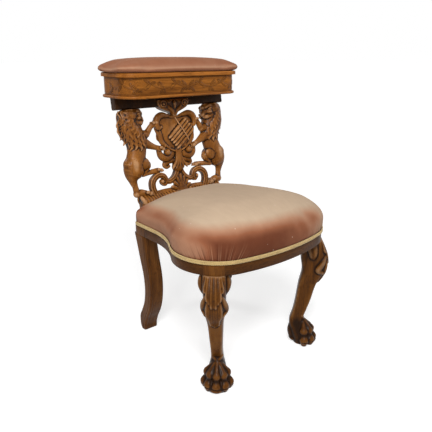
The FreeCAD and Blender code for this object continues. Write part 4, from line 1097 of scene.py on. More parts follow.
def leaned(shell):
    """The back's own frame (across, to the rear, up its slope) turned about the rear rail's middle line."""
    x, rear, up = np.moveaxis(np.asarray(shell, float), -1, 0)
    y = back_foot + rear * math.cos(back_rake) + up * math.sin(back_rake)
    z = rail_top - rear * math.sin(back_rake) + up * math.cos(back_rake)
    return np.stack([x, y, np.clip(z, rail_top + 0.1, box_level - 0.1)], -1)


def on_grid(across, up):
    """Place on the carver's grid in millimetres, from shares across and up the opening."""
    return across * back_half_width, base_top + up * opening


def grid_limb(steps, flat=0.8, front=0, **shape):
    """Limb on the carver's grid: steps of share across, share up, radius and, if given, its own front."""
    knots = []
    for across, up, radius, *own_front in steps:
        x, z = on_grid(across, up)
        knots.append((x, own_front[0] if own_front else front, z, radius))
    return limb(knots, flat, **shape)


def grid_ball(across, up, front, radii):
    """Ellipsoid on the carver's grid."""
    x, z = on_grid(across, up)
    return ball((x, front, z), radii)


def mirrored(shells):
    """The same carving on the other side of the middle."""
    return [shell * [-1, 1, 1] for shell in shells]


def on_both_faces(shells):
    """The same carving on the front and on the rear."""
    return shells + [shell * [1, -1, 1] for shell in shells]


def soft_bar(low, high, rounding=2.5, count=40):
    """Bar along X: a round-cornered rectangle carried from end to end, with its end edges eased."""
    section = round_rectangle(low[1:], high[1:], rounding, 48)[0]
    x = np.linspace(low[0], high[0], count)
    x[1] = low[0] + 0.3 * rounding
    x[-2] = high[0] - 0.3 * rounding
    ease = np.ones(count)
    ease[[0, -1]] = 0.94
    middle = section.mean(axis=0)
    ring = middle + (section - middle) * ease[:, None, None]
    return np.concatenate([np.broadcast_to(x[:, None, None], (count, 48, 1)), ring], 2)


def leaf_spray(start, lean, length, lobes, width, front):
    """Leaf of ribs fanned from one root: each rib a limb that bends outward to its tip."""
    ribs = []
    for turn in np.linspace(-1, 1, lobes):
        angle = lean + 0.55 * turn
        reach = length * (1 - 0.28 * turn ** 2)
        knots = []
        for t in (0, 0.4, 0.75, 1):
            bend = angle + 0.5 * turn * t * t
            swell = math.sin(math.pi * t)
            knots.append((start[0] + reach * t * math.cos(bend), front - 3 * swell,
                          start[1] + reach * t * math.sin(bend), width * (0.55 + 0.45 * swell)))
        ribs.append(limb(knots, 0.7, count=12, sides=8))
    return ribs


base_under = -8
base_low = (-base_half_width, -back_rail_half, base_under)
base_high = (base_half_width, back_rail_half, base_top - 0.3)
base_shells = [soft_bar(base_low, base_high)]
base_leaves = []
for x in np.arange(30, base_half_width - 4, 10.5):
    swell = 1 + 0.22 * math.sin(x / 17)
    leaf_steps = [(x - 7, -back_rail_half + 1, 14, 4), (x - 2, -back_rail_half - 3, 26, 6.2 * swell),
                  (x + 3, -back_rail_half + 1, 38, 6.4 * swell), (x + 7, -3, base_top + 4 * swell, 5)]
    base_leaves.append(limb(leaf_steps, 0.9, count=14, sides=10))
base_leaves += leaf_spray((0, 4), math.pi / 2, 46, 5, 5.5, -back_rail_half)
leaf_low = [-base_half_width - 4, -40, base_under]
leaf_high = [base_half_width + 4, 40, 90]
base_leaves = [np.clip(leaf, leaf_low, leaf_high) for leaf in base_leaves]
base_shells += on_both_faces(base_leaves + mirrored(base_leaves))
back_walnut = walnut("back_walnut", depth=0.88, carved=True, gloss=0.16)
base_voxel = 1.5
base_rail_mesh = carve("back_base_rail_carved", [leaned(shell) for shell in base_shells], base_voxel)
place_piece(base_rail_mesh, back_walnut, ["back_base_rail"])


# Lion supporters: two rampant lions carved in walnut, doweled between the rails, each with both forepaws on
# the shield, one hind foot on the base and one on a leaf. Mane in wavy locks, smooth flanks, open jaws.
lion_flat = 0.75
# share across, share up the opening and radius along the lion's body
lion_body = [(0.80, 0.33, 33), (0.74, 0.45, 31), (0.70, 0.56, 30), (0.71, 0.67, 33), (0.77, 0.78, 36),
             (0.79, 0.92, 33)]
lion_run = flow(lion_body, 160) * [back_half_width, opening, 1] + [0, base_top, 0]


def lion_depth(x, z):
    """How far the body stands out at a place: the nearest face of the balls strung along its run."""
    gap = (np.asarray(x)[..., None] - lion_run[:, 0]) ** 2 + (np.asarray(z)[..., None] - lion_run[:, 1]) ** 2
    return lion_flat * np.sqrt(np.maximum(lion_run[:, 2] ** 2 - gap, 0)).max(axis=-1)


def mane_lock(across, up, heading, length, width, bend):
    """Wavy lock of three strands on the front of the neck: from a grid point it flows along a heading with
    a sideways sine, hugging the body's depth, and thins to a tip curled off the surface."""
    t = np.linspace(0, 1, 10)
    ahead = np.array([math.cos(heading), math.sin(heading)])
    aside = np.array([-ahead[1], ahead[0]])
    wave = 0.11 * length * np.sin(2 * math.pi * 1.1 * t + bend) * t ** 0.5
    path = np.array(on_grid(across, up)) + length * t[:, None] * ahead + wave[:, None] * aside
    taper = width * (0.72 + 0.45 * np.sin(math.pi * t) - 0.52 * t ** 2)
    strands = []
    for lane in (-0.78, 0, 0.78):
        place = path + (lane * taper)[:, None] * aside
        lift = width * (0.05 + 0.18 * np.sin(math.pi * t) + 0.55 * t ** 2) - 0.9 * abs(lane)
        front = -lion_depth(place[:, 0], place[:, 1]) - lift
        knots = np.column_stack([place[:, 0], front, place[:, 1], 0.43 * taper])
        strands.append(limb(knots, count=16, sides=8))
    return strands


def paw(across, up, front, heading, toes, size):
    """Toes of a paw: balls side by side ahead of the limb's end, each with a knuckle and a small claw."""
    ahead = np.array([math.cos(heading), 0, math.sin(heading)])
    above = np.array([-ahead[2], 0, ahead[0]]) * (1 if ahead[0] > 0 else -1)
    shells = []
    x, z = on_grid(across, up)
    for i in range(toes):
        root = np.array([x, front + (i - (toes - 1) / 2) * 1.3 * size, z])
        place = root + ahead * size * 0.9
        shells.append(ball(place, (0.95 * size, 0.70 * size, 0.85 * size)))
        knuckle = root - ahead * 0.35 * size + above * 0.4 * size
        shells.append(ball(knuckle, (0.9 * size, 0.62 * size, 0.75 * size)))
        tip = place + ahead * size * 1.25 - above * 0.5 * size
        shells.append(limb([(*place, 0.5 * size), (*tip, 0.2 * size)], count=6, sides=8))
    return shells


def lion_shells():
    """Closed shells of the right lion: body, head, legs and paws, then face and mane on both faces."""
    shells = [
        grid_limb(lion_body, lion_flat, count=40, sides=28),
        # skull, forehead, bridge of the nose, nose and jaw
        grid_limb([(0.79, 0.935, 27), (0.72, 0.93, 24), (0.665, 0.905, 18)], 0.95, -5, sides=20),
        grid_limb([(0.72, 0.985, 10), (0.65, 0.98, 10), (0.605, 0.945, 9)], 1.2, -6),
        grid_limb([(0.65, 0.935, 12), (0.612, 0.895, 10), (0.592, 0.868, 8.5)], 1.2, -6),
        grid_ball(0.582, 0.860, -6, (5.5, 9, 5)),
        grid_limb([(0.72, 0.825, 14), (0.68, 0.785, 10), (0.645, 0.765, 7), (0.622, 0.772, 4.5)], 1.1, -6),
        # foreleg to the shield's ear
        grid_limb([(0.66, 0.70, 21, -3), (0.60, 0.705, 17, -4), (0.53, 0.71, 12, -5)], 0.9),
        grid_limb([(0.545, 0.70, 11.5, -5), (0.50, 0.735, 10, -6), (0.45, 0.785, 8.5, -9),
                   (0.405, 0.815, 9, -12)], 0.9),
        # foreleg to the shield's foot
        grid_limb([(0.64, 0.64, 22, -3), (0.56, 0.605, 16, -4), (0.48, 0.575, 11.5, -5),
                   (0.40, 0.548, 8.5, -8), (0.335, 0.53, 9, -11)], 0.9),
        # standing hind leg, hock and foot
        grid_limb([(0.80, 0.37, 33), (0.835, 0.28, 25), (0.835, 0.20, 14), (0.825, 0.16, 10.5)], 0.8,
                  sides=20),
        grid_limb([(0.828, 0.20, 11), (0.815, 0.14, 9.5), (0.80, 0.07, 10.5)], 0.9),
        grid_limb([(0.80, 0.05, 12), (0.73, 0.052, 12.5), (0.65, 0.04, 10)], 0.95),
        # raised hind leg and foot
        grid_limb([(0.74, 0.40, 29), (0.66, 0.385, 23), (0.585, 0.36, 17)], 0.85, sides=20),
        grid_limb([(0.572, 0.36, 14.5), (0.60, 0.315, 12), (0.65, 0.268, 9)], 0.9),
        grid_limb([(0.655, 0.262, 9), (0.56, 0.268, 8), (0.45, 0.275, 8.5), (0.38, 0.277, 9)], 0.95),
    ]
    shells += paw(0.40, 0.822, -13, math.radians(160), 3, 6.5)
    shells += paw(0.325, 0.528, -12, math.radians(200), 3, 6.5)
    shells += paw(0.635, 0.038, 0, math.radians(190), 4, 8)
    shells += paw(0.37, 0.277, 0, math.radians(182), 3, 7)
    face = [
        # cheekbone, eyeball between two lids, brow, lip pad, nostril wing, cheek and ear
        grid_ball(0.690, 0.905, -20, (14, 7, 10)),
        grid_ball(0.672, 0.918, -25, (5, 3.4, 4)),
        grid_limb([(0.715, 0.920, 2, -24), (0.682, 0.943, 3.2, -26.5), (0.643, 0.925, 2.4, -24)], count=12,
                  sides=8),
        grid_limb([(0.71, 0.905, 1.8, -25), (0.675, 0.895, 2.4, -27), (0.645, 0.906, 1.8, -24.5)], count=12,
                  sides=8),
        grid_limb([(0.755, 0.945, 4, -22), (0.69, 0.968, 5, -23), (0.62, 0.95, 4.5, -17)], count=12,
                  sides=10),
        grid_limb([(0.675, 0.845, 6, -19), (0.635, 0.842, 8.5, -15), (0.602, 0.850, 7.5, -10)], count=12,
                  sides=12),
        grid_ball(0.587, 0.868, -12, (4, 4, 4)),
        grid_ball(0.725, 0.855, -19, (12, 6, 14)),
        grid_limb([(0.765, 0.965, 6, -22), (0.795, 0.99, 6, -23), (0.812, 0.975, 4, -21)], count=10,
                  sides=10),
        # muscles of the shoulder, haunch and thigh
        grid_ball(0.685, 0.65, -13, (20, 11, 26)),
        grid_ball(0.805, 0.36, -13, (24, 12, 30)),
        grid_ball(0.675, 0.385, -11, (26, 11, 20)),
    ]
    # ruff that frames the face, then rows of locks down the neck, chest and back to the shoulder
    for turn in np.linspace(0, 1, 7):
        across = 0.775 + 0.035 * math.sin(math.pi * turn) - 0.055 * turn
        face += mane_lock(across, 0.985 - 0.205 * turn, -0.25 - 1.25 * turn, 26, 6.0, 0.8 * turn)
    rows = [(0.965, 0.85, 0.91, 2), (0.905, 0.83, 0.93, 4), (0.84, 0.77, 0.935, 5), (0.775, 0.70, 0.92, 6),
            (0.71, 0.63, 0.885, 6), (0.65, 0.60, 0.83, 5)]
    for row, (up, inner, outer, count) in enumerate(rows):
        for i, across in enumerate(np.linspace(inner, outer, count)):
            lean = -math.pi / 2 + 0.45 * (i / (count - 1) - 0.55) - 0.10 * (row > 3)
            bend = 0.7 * i + 0.9 * row
            face += mane_lock(across, up + 0.02 * (i % 2), lean, 39 - 1.5 * row, 5.2 - 0.2 * row, bend)
    return shells + on_both_faces(face)


def grid_bell(points, across, up, reach):
    """Bell of the distance from a place on the back's grid: 1 in its middle and 0.3 at one reach."""
    low, high = leaned(np.array([[0, 0, base_top], [0, 0, opening_top]], float))[:, 2]
    aside = (np.abs(points[:, 0]) / back_half_width - across) / reach[0]
    above = ((points[:, 2] - low) / (high - low) - up) / reach[1]
    return np.exp(-1.2 * (aside ** 2 + above ** 2))


def lion_highlight(points):
    """The haunch and the flank stand proud and carry a pale painted highlight."""
    haunch = grid_bell(points, 0.82, 0.40, (0.075, 0.13))
    flank = grid_bell(points, 0.72, 0.55, (0.08, 0.09))
    return 1.1 * haunch + 0.4 * flank


joint_gap = 0.2


def between_rails(shells, gap_above=joint_gap):
    """Shells cut off at the base rail's top and a gap under the top rail, then leaned with the back."""
    lowest = [-np.inf, -np.inf, base_top + joint_gap]
    highest = [np.inf, np.inf, opening_top - gap_above]
    return [leaned(np.clip(shell, lowest, highest)) for shell in shells]


# how finely the lions and the shield are carved, and the direction that they face, from which their stain and
# painted side shade are reckoned
fine_carving = dict(voxel=1.3, spread=12, depth=0.65, front=(0, -1, 0))
lion = lion_shells()
for hand, shells in (("right", lion), ("left", mirrored(lion))):
    # pale painted highlight on the haunch and flank, and dark stain and painted shade on faces turned from
    # the front
    mesh = carve(hand + "_lion_carved", between_rails(shells), wear_and_light=lion_highlight, **fine_carving)
    place_piece(mesh, back_walnut, [hand + "_lion"])


# Shield and stem: a scroll-edged shield with a tied bundle of cigars in relief, on a fluted stem with
# volutes, reeded scrolls and a palmette, all carved from one walnut board and doweled between the rails.
shield_middle = 0.67
# share across and share up the opening, down the shield's right side
shield_side = [(0, 0.893), (0.08, 0.893), (0.16, 0.908), (0.25, 0.92), (0.33, 0.893), (0.368, 0.83),
               (0.35, 0.76), (0.315, 0.69), (0.30, 0.62), (0.25, 0.56), (0.15, 0.49), (0, 0.45)]
# size of the outline, distance to the rear: flat back, edge, raised rim, sunk field with a slight crown
shield_steps = [(0.05, 9), (0.6, 10), (0.94, 9.5), (0.99, 5), (1.0, -2), (0.995, -9), (0.97, -14.5),
                (0.93, -16), (0.89, -14.6), (0.85, -13.2), (0.6, -15), (0.3, -15.6), (0.05, -15.6)]


def shield_shell():
    """The shield's outline, mirrored about its middle, repeated at each size and depth."""
    half = flow(shield_side, 70)
    loop = np.concatenate([half, half[-2:0:-1] * [-1, 1]])
    rings = []
    for scale, rear in shield_steps:
        up = shield_middle + scale * (loop[:, 1] - shield_middle)
        plan = np.column_stack(on_grid(scale * loop[:, 0], up))
        rings.append(at_level(plan, rear)[:, [0, 2, 1]])
    return np.stack(rings)


def reeded(steps, reeds, width, front=0, flat=0.9):
    """Scroll worked in reeds: thin limbs side by side along one run, standing on a plain limb."""
    count = 40
    across, up, radii = np.array(steps, float).T
    run = flow(np.column_stack(on_grid(across, up)), count)
    step = unit(np.gradient(run, axis=0))
    taper = np.interp(np.linspace(0, 1, count), np.linspace(0, 1, len(steps)), radii)
    shells = [limb(np.column_stack([run[:, 0], np.full(count, front), run[:, 1], taper]), flat, count=60)]
    for aside in np.linspace(-1, 1, reeds):
        place = run + np.column_stack([-step[:, 1], step[:, 0]]) * (aside * 0.62 * taper)[:, None]
        for face in (-1, 1):
            depth = front + face * flat * taper * math.sqrt(1 - 0.36 * aside ** 2)
            knots = np.column_stack([place[:, 0], depth, place[:, 1], taper * width])
            shells.append(limb(knots, count=60, sides=8))
    return shells


cigar_slope = math.radians(38)
cigar_along = np.array([math.cos(cigar_slope), 0, math.sin(cigar_slope)])
cigar_aside = np.array([-math.sin(cigar_slope), 0, math.cos(cigar_slope)])
cigar_step = 10.8
# distance from the cigar's middle and radius
cigar = [(-43, 3.6), (-36, 4.6), (0, 5.1), (36, 4.6), (43, 3.6)]
bundle = np.array([0.075 * back_half_width, -20, base_top + 0.675 * opening])
stem_shells = [shield_shell()]
for place in range(-2, 3):
    centre = bundle + cigar_aside * cigar_step * place
    knots = [(*(centre + cigar_along * reach), radius) for reach, radius in cigar]
    stem_shells.append(limb(knots, count=20, sides=16))
tie_aside = np.array([-0.494, 0, 0.87])
tie_start, tie_end = [bundle + cigar_along * 8 + tie_aside * reach + [0, -5, 0] for reach in (-31, 52)]
tie_middle = 0.65 * tie_start + 0.35 * tie_end - [0, 1.5, 0]
tie_steps = [(*tie_start, 2.2), (*tie_middle, 2.4), (*(tie_end + [0, 4, 0]), 2.2)]
stem_shells.append(limb(tie_steps, count=16, sides=8))
scrolls = [
    # rolled ear at the shield's shoulder and strap down its side
    grid_limb([(0.09, 0.885, 4, -10), (0.17, 0.90, 7, -13), (0.255, 0.908, 9.5, -15),
               (0.33, 0.878, 10.5, -16), (0.36, 0.82, 9.5, -16), (0.335, 0.765, 7.5, -16),
               (0.28, 0.77, 5, -15)], 0.95),
    grid_limb([(0.35, 0.76, 6, -6), (0.315, 0.68, 7, -9), (0.30, 0.61, 7, -10), (0.235, 0.555, 7, -10)],
              0.95),
    grid_limb([(0.29, 0.61, 5, -6), (0.335, 0.64, 4.4, -5), (0.348, 0.685, 2.2, -5)]),
    # volute under the shield, with its eye
    grid_limb([(0.335, 0.515, 8, -2), (0.305, 0.44, 11, -3), (0.225, 0.405, 12.5, -3), (0.135, 0.425, 11, -3),
               (0.09, 0.48, 10, -3)], 0.95),
    grid_limb([(0.30, 0.53, 7, -4), (0.22, 0.545, 8, -6), (0.14, 0.53, 9, -6)], 0.95),
    grid_ball(0.205, 0.475, -10, (11, 13, 11)),
    # leaf curl beside the stem
    grid_limb([(0.03, 0.365, 10), (0.12, 0.372, 10.5), (0.205, 0.36, 10), (0.25, 0.325, 8), (0.215, 0.295, 6),
               (0.165, 0.305, 5)], 0.9),
]
# fluted bell of the stem: ribs that spread toward its lower edge
for turn in np.linspace(-1, 1, 5):
    rib = [(0.03 * turn, 0.50, 5), (0.035 * turn, 0.42, 5), (0.06 * turn, 0.35, 5.5), (0.115 * turn, 0.30, 5),
           (0.135 * turn, 0.275, 3)]
    scrolls.append(grid_limb(rib, 0.9, -13, count=16, sides=10))
# palmette at the foot: ribbed lobes
for turn in np.linspace(0, 1, 4):
    aside = 0.20 * math.sin(1.15 * turn)
    rise = (0.20 - 0.05 * turn) * math.cos(1.15 * turn)
    steps = [(0.02 * turn, 0.0, 5)]
    steps += [(share * aside, share * rise, radius) for share, radius in ((0.5, 7.5), (0.9, 6), (1, 3.5))]
    scrolls.append(grid_limb(steps, 0.8, -7, count=14, sides=12))
scrolls += reeded([(0.015, 0.30, 9), (0.045, 0.22, 9), (0.11, 0.155, 9), (0.20, 0.125, 8.5),
                   (0.262, 0.135, 7.5)], 3, 0.36)
scrolls += reeded([(0.46, -0.02, 9.5), (0.515, 0.08, 9.5), (0.50, 0.165, 9.5), (0.41, 0.215, 9.5),
                   (0.31, 0.205, 9), (0.262, 0.15, 8), (0.295, 0.105, 7), (0.345, 0.13, 6)], 3, 0.36)
scrolls += [
    grid_ball(0.335, 0.14, 0, (8, 11, 8)),
    grid_limb([(0.10, 0.005, 12), (0.32, 0.012, 10), (0.46, 0.005, 10)], 0.85),
]
stem_shells += scrolls + mirrored(scrolls)
stem_shells += [
    grid_limb([(0, 0.56, 24), (0, 0.43, 17), (0, 0.34, 18), (0, 0.285, 21)], 0.8, sides=20),
    grid_limb([(0, 0.30, 15), (0, 0.20, 13), (0, 0.10, 22), (0, -0.02, 32)], 0.6),
]


def shield_wear_and_light(points):
    """The shield's plain field and the stem under it are painted lighter golden, partly as wear and partly as
    painted light.
    """
    field = grid_bell(points, 0, 0.72, (0.36, 0.20))
    stem = grid_bell(points, 0, 0.40, (0.09, 0.12))
    return 0.85 * field + 0.6 * stem


# field and stem painted lighter golden, partly wear and partly painted light
shield_mesh = carve("shield_stem_carved", between_rails(stem_shells, gap_above=4), wide=0.1,
                    wear_and_light=shield_wear_and_light, **fine_carving)
place_piece(shield_mesh, back_walnut, ["shield_stem"])


# Top rail of the back: a plain walnut rail, screwed up to the box and painted dark for the shade beneath it,
# with a drop
# carved at its middle: a leaf between two rosettes. The dowels that hold the carved pieces are beech.
drop_front = -19
drop_top = opening_top + 21
drop_tip = base_top + 0.885 * opening
# half width and level down the drop's side
drop_side = [(58, drop_top), (59, opening_top + 8), (48, opening_top - 5), (28, opening_top - 14),
             (13, opening_top - 20), (6, drop_tip)]
# distance to the rear and size of the outline
drop_steps = [(drop_front - 1, 0.5), (drop_front, 0.90), (drop_front + 1.2, 0.97), (drop_front + 3, 1.0),
              (8, 1.0), (9, 0.98)]


def drop_shell():
    """The drop's outline, wide above and drawn in to a tip, carried to the rear with eased faces."""
    side = flow(drop_side, 40)
    across = np.linspace(-0.93, 0.93, 15)[:, None]
    top = np.column_stack([across * side[0, 0], np.full(15, drop_top)])
    low = np.column_stack([-across * side[-1, 0], np.full(15, drop_tip)])
    loop = np.concatenate([side, low, side[::-1] * [-1, 1], top])
    middle = np.array([0, opening_top])
    rings = []
    for rear, size in drop_steps:
        ring = middle + (loop - middle) * size
        rings.append(at_level(ring, rear)[:, [0, 2, 1]])
    return np.stack(rings)


def drop_limb(steps, side=1, **shape):
    """Limb on the drop's face: steps of distance aside, depth, level above the opening and radius."""
    knots = [(side * aside, drop_front + depth, opening_top + level, radius)
             for aside, depth, level, radius in steps]
    return limb(knots, **shape)


bar_low = (-back_half_width, -back_rail_half, opening_top + joint_gap)
bar_high = (back_half_width, back_rail_half, back_total + 8)
top_bar = soft_bar(bar_low, bar_high)
drop_carving = [drop_limb([(0, -1, 15, 3.5), (0, -2, 6, 6), (0, -1, -3, 4), (0, 0, -8, 2)])]
rosette_x = 40
rosette_level = 8
rosette_turns = np.linspace(0, 2 * math.pi, 13)
stalk = [(27, 1, 4, 4), (20, 0, -5, 5.5), (10, 0, -13, 5.5), (4, 1, -22, 4)]
sprig = [(10, 1, 17, 3), (19, 0, 12, 4), (26, 1, 15, 3)]
for side in (-1, 1):
    rosette = [(rosette_x + side * 9.5 * math.cos(turn), -0.5, rosette_level + 8.5 * math.sin(turn), 2.6)
               for turn in rosette_turns]
    drop_carving += [
        ball((side * rosette_x, drop_front, opening_top + rosette_level), (5, 5, 5)),
        drop_limb(rosette, side, count=40, sides=8),
        drop_limb(stalk, side, flat=0.6, count=16, sides=10),
        drop_limb(sprig, side, flat=0.6, count=14, sides=10),
    ]
plain_voxel = 2.0
drop_voxel = 1.2
top_mesh = carve("back_top_rail_bar", [leaned(top_bar)], plain_voxel)
# the rail's walnut is painted dark for the shade under the box
place_piece(top_mesh, walnut("top_rail_painted_shade", depth=0.14), ["back_top_rail"])
drop_shells = [leaned(shell) for shell in [drop_shell()] + drop_carving]
drop_mesh = carve("back_top_rail_drop", drop_shells, drop_voxel)
place_piece(drop_mesh, back_walnut)
finish_node("back_dowels", beech("dowel_beech"))


# Tobacco box: a thin bottom board screwed to the top rail, two rounded ends with a front and a back wall
# tongued between them, all in figured golden walnut. Leafy branches are carved in low relief round the
# front and ends.
box_half_width = 207
box_front = 122
box_rear = 293
box_corner = 54
box_wall = 14
wall_bottom = 748.5
wall_top = 799.0
bottom_overhang = 5
hinge_y = 290
hinge_z = 799.2
bevel_slope = math.tan(math.radians(52))


def round_board(name, overhang, rear, corner, profile):
    """Board with a moulded edge: its round-cornered outline drawn in and lifted by the profile."""
    rings = []
    for inset, z in profile:
        low = (-box_half_width - overhang + inset, box_front - overhang + inset)
        high = (box_half_width + overhang - inset, rear - inset)
        points = round_rectangle(low, high, max(corner - inset, 2), 420)[0]
        rings.append(at_level(points, z))
    return shell_mesh(name, [np.stack(rings)])


def bullnose(low, high, depth):
    """Edge profile: half an ellipse between two levels, with flat faces inside it."""
    turn = np.linspace(-math.pi / 2, math.pi / 2, 13)
    nose = [(depth * (1 - math.cos(a)), 0.5 * (low + high) + 0.5 * (high - low) * math.sin(a)) for a in turn]
    return [(70, low)] + nose + [(70, high)]


edge_walnut = walnut("edge_walnut", "x", 1.3)
bottom_nose = bullnose(box_level + 0.1, wall_bottom - 0.1, 3.0)
bottom_mesh = round_board("box_bottom_board", bottom_overhang, box_rear + bottom_overhang,
                          box_corner + bottom_overhang, bottom_nose)
place_piece(bottom_mesh, edge_walnut, ["box_bottom"])
finish_node("box_screws", screw_steel)
finish_node("box_back", walnut("box_back_walnut", "x", 0.8))


box_straight = box_rear - box_front - 2 * box_corner
box_bend = 0.5 * math.pi * box_corner
box_middle = 2 * (box_half_width - box_corner)
# places along the outer line where the left end, the front and the right end meet
front_start = box_straight + 2 * box_bend
front_end = front_start + box_middle
line_end = front_end + front_start


def wall_line(reach, inset):
    """Points and outward directions along the box's outer line: from the back's left end, round the left
    end, along the front and round the right end, drawn in by an inset. Bends and straights follow as the
    reach grows."""
    bends = [0, box_bend + box_straight, front_end, front_end + box_bend + box_straight]
    angle = 0.5 * math.pi * (1 + sum(np.clip((reach - start) / box_bend, 0, 1) for start in bends))
    out = np.column_stack([np.cos(angle), np.sin(angle)])
    x = -0.5 * box_middle + np.clip(reach - front_start, 0, box_middle)
    y = box_rear - box_corner - np.clip(reach - box_bend, 0, box_straight)
    y += np.clip(reach - front_end - box_bend, 0, box_straight)
    return np.column_stack([x, y]) + out * (box_corner - inset), out


def bump_along(across, along, start, end, bow, width, height):
    """Low ridge over a curved line between two points: height times a bell of the distance to it."""
    dx, dz = end[0] - start[0], end[1] - start[1]
    length = math.hypot(dx, dz)
    t = ((across - start[0]) * dx + (along - start[1]) * dz) / length ** 2
    aside = ((across - start[0]) * dz - (along - start[1]) * dx) / length - bow * 4 * t * (1 - t)
    inside = np.clip(np.minimum(t, 1 - t) * 9, 0, 1)
    return height * np.exp(-(aside / width) ** 2) * inside


def leaf_relief(across, along, root, lean, length, width, height):
    """Leaf in low relief: a pointed oval with a raised edge, a cut midrib and slanting veins."""
    dx, dz = math.cos(lean), math.sin(lean)
    t = ((across - root[0]) * dx + (along - root[1]) * dz) / length
    aside = ((across - root[0]) * -dz + (along - root[1]) * dx) / width
    half = np.sqrt(np.clip(np.sin(math.pi * np.clip(t, 0, 1)), 0, 1)) * (1 - 0.35 * t)
    inside = np.clip((half - np.abs(aside)) * 4, 0, 1) * (t > 0) * (t < 1)
    rib = np.exp(-(aside / 0.10) ** 2)
    veins = 0.5 + 0.5 * np.cos(9 * math.pi * (t - 0.4 * np.abs(aside)))
    return height * inside * (0.75 + 0.35 * np.abs(aside) + 0.22 * veins - 0.8 * rib)


# knots of the branch, from the front's middle outward; lean and length of the leaves at a knot
branch_knots = [(2, -3), (40, 7), (84, -6), (128, 6), (172, -7), (216, 5), (258, -5)]
knot_leaves = [(0.8, 30), (-0.7, 26), (2.5, 19)]
leaf_width = 5.6
relief_half_height = 21.5


def foliage(reach, z):
    """Height of the carving over the wall: a waving branch with leaves and a round bud at each knot, and a
    cut line above and below."""
    across = reach - 0.5 * (front_start + front_end)
    up = z - 0.5 * (wall_bottom + wall_top)
    height = np.zeros_like(across)
    for side in (-1, 1):
        flipped = side * across
        for start, end in zip(branch_knots, branch_knots[1:]):
            height = np.maximum(height, bump_along(flipped, up, start, end, 3.0, 1.9, 0.9))
        for i, (x, y) in enumerate(branch_knots):
            for twist, length in knot_leaves:
                swing = (1 if i % 2 else -1) * (1 + 0.25 * math.sin(2.3 * i + 5 * twist))
                leaf = leaf_relief(flipped, up, (x + 3, y), twist * swing, length, leaf_width, 0.95)
                height = np.maximum(height, leaf)
            from_bud = ((flipped - x - 20) ** 2 + (up + 0.9 * y) ** 2) / 3.4 ** 2
            height = np.maximum(height, np.exp(-from_bud ** 2))
    cut_line = 0.55 * np.exp(-((np.abs(up) - relief_half_height) / 0.8) ** 2)
    edge = np.clip((relief_half_height - 0.5 - np.abs(up)) / 3, 0, 1)
    return height * edge - cut_line


# distance between the wall's points along it and up it
wall_step = 0.75
wall_row = 0.73
# the relief's mean plane lies this far inside the outer line
relief_inset = 1.1


def wall_shell(first, last):
    """Wall between two places on the box's outer line: its carved face, eased top and bottom edges and
    plain inner face. Behind the hinge the top is drawn down to the bevel that lets the lid swing."""
    reach = np.linspace(first, last, max(int((last - first) / wall_step), 30))
    z = np.concatenate([[wall_bottom, wall_bottom + 0.3], np.linspace(wall_bottom + 1.2, wall_top - 1.2, 66),
                        [wall_top - 0.3, wall_top]])
    ease = np.zeros(len(z))
    ease[[0, -1]] = 1.2
    ease[[1, -2]] = 0.5
    reach_grid, z_grid = np.meshgrid(reach, z, indexing="ij")
    lift = foliage(reach_grid, z_grid) - ease
    line, out = wall_line(reach, relief_inset)
    outer = line[:, None] + out[:, None] * lift[..., None]
    inner = wall_line(reach, box_wall)[0]
    inner_z = np.array([wall_top, wall_bottom])
    inner_points = np.broadcast_to(inner[:, None], (len(reach), 2, 2))
    plan = np.concatenate([outer, inner_points], 1)
    level = np.concatenate([z_grid, np.broadcast_to(inner_z, (len(reach), 2))], 1)
    bevel = hinge_z - 0.3 - bevel_slope * np.maximum(plan[..., 1] - hinge_y, 0)
    rings = np.concatenate([plan, np.minimum(level, bevel)[..., None]], 2)
    # the relief's steep sides are darkened with wax and painted shade along the carving
    steep = np.hypot(np.gradient(lift, axis=0) / wall_step, np.gradient(lift, axis=1) / wall_row)
    steep[:, :4] = 0
    steep[:, -4:] = 0
    hollow = np.concatenate([np.clip(0.50 * steep, 0, 0.32), np.zeros((len(reach), 2))], 1)
    return rings, hollow


wall_parts = {
    "box_left_end": (0, front_start),
    "box_front": (front_start, front_end),
    "box_right_end": (front_end, line_end),
}
relief_walnut = walnut("relief_walnut", depth=1.34, carved=True, gloss=0.05)
for node, (first, last) in wall_parts.items():
    rings, hollow = wall_shell(first, last)
    wall = shell_mesh(node + "_carved", [rings])
    store(wall, "hollow", hollow.ravel())
    store(wall, "grain", rings.reshape(-1, 3)[:, [1, 2, 0]] * mm)
    place_piece(wall, relief_walnut, [node])


# Lid: a walnut board with a round nose, flush at the back where it is bevelled for the hinges.
# Its pad is stuffed and covered like the seat, with the velvet turned under at the board's edge.
finish_node("lid_board", walnut("lid_walnut", "x", 1.5))
lid_level = 810.4
lid_pad_height = 37
lid_pad_bulge = 11.5
lid_half = 208
lid_front = 121
lid_rear = 289
lid_corner = 44
lid_end_bulge = 6
lid_end_fall = 0.20
# share of the pad's height and inset of its outline
lid_stations = [(0.0, 0), (0.06, -0.45 * lid_pad_bulge), (0.15, -0.8 * lid_pad_bulge), (0.35, -lid_pad_bulge),
                (0.56, -0.85 * lid_pad_bulge), (0.70, -0.3 * lid_pad_bulge), (0.81, 7), (0.89, 19),
                (0.95, 35), (0.985, 54), (1.0, 74)]


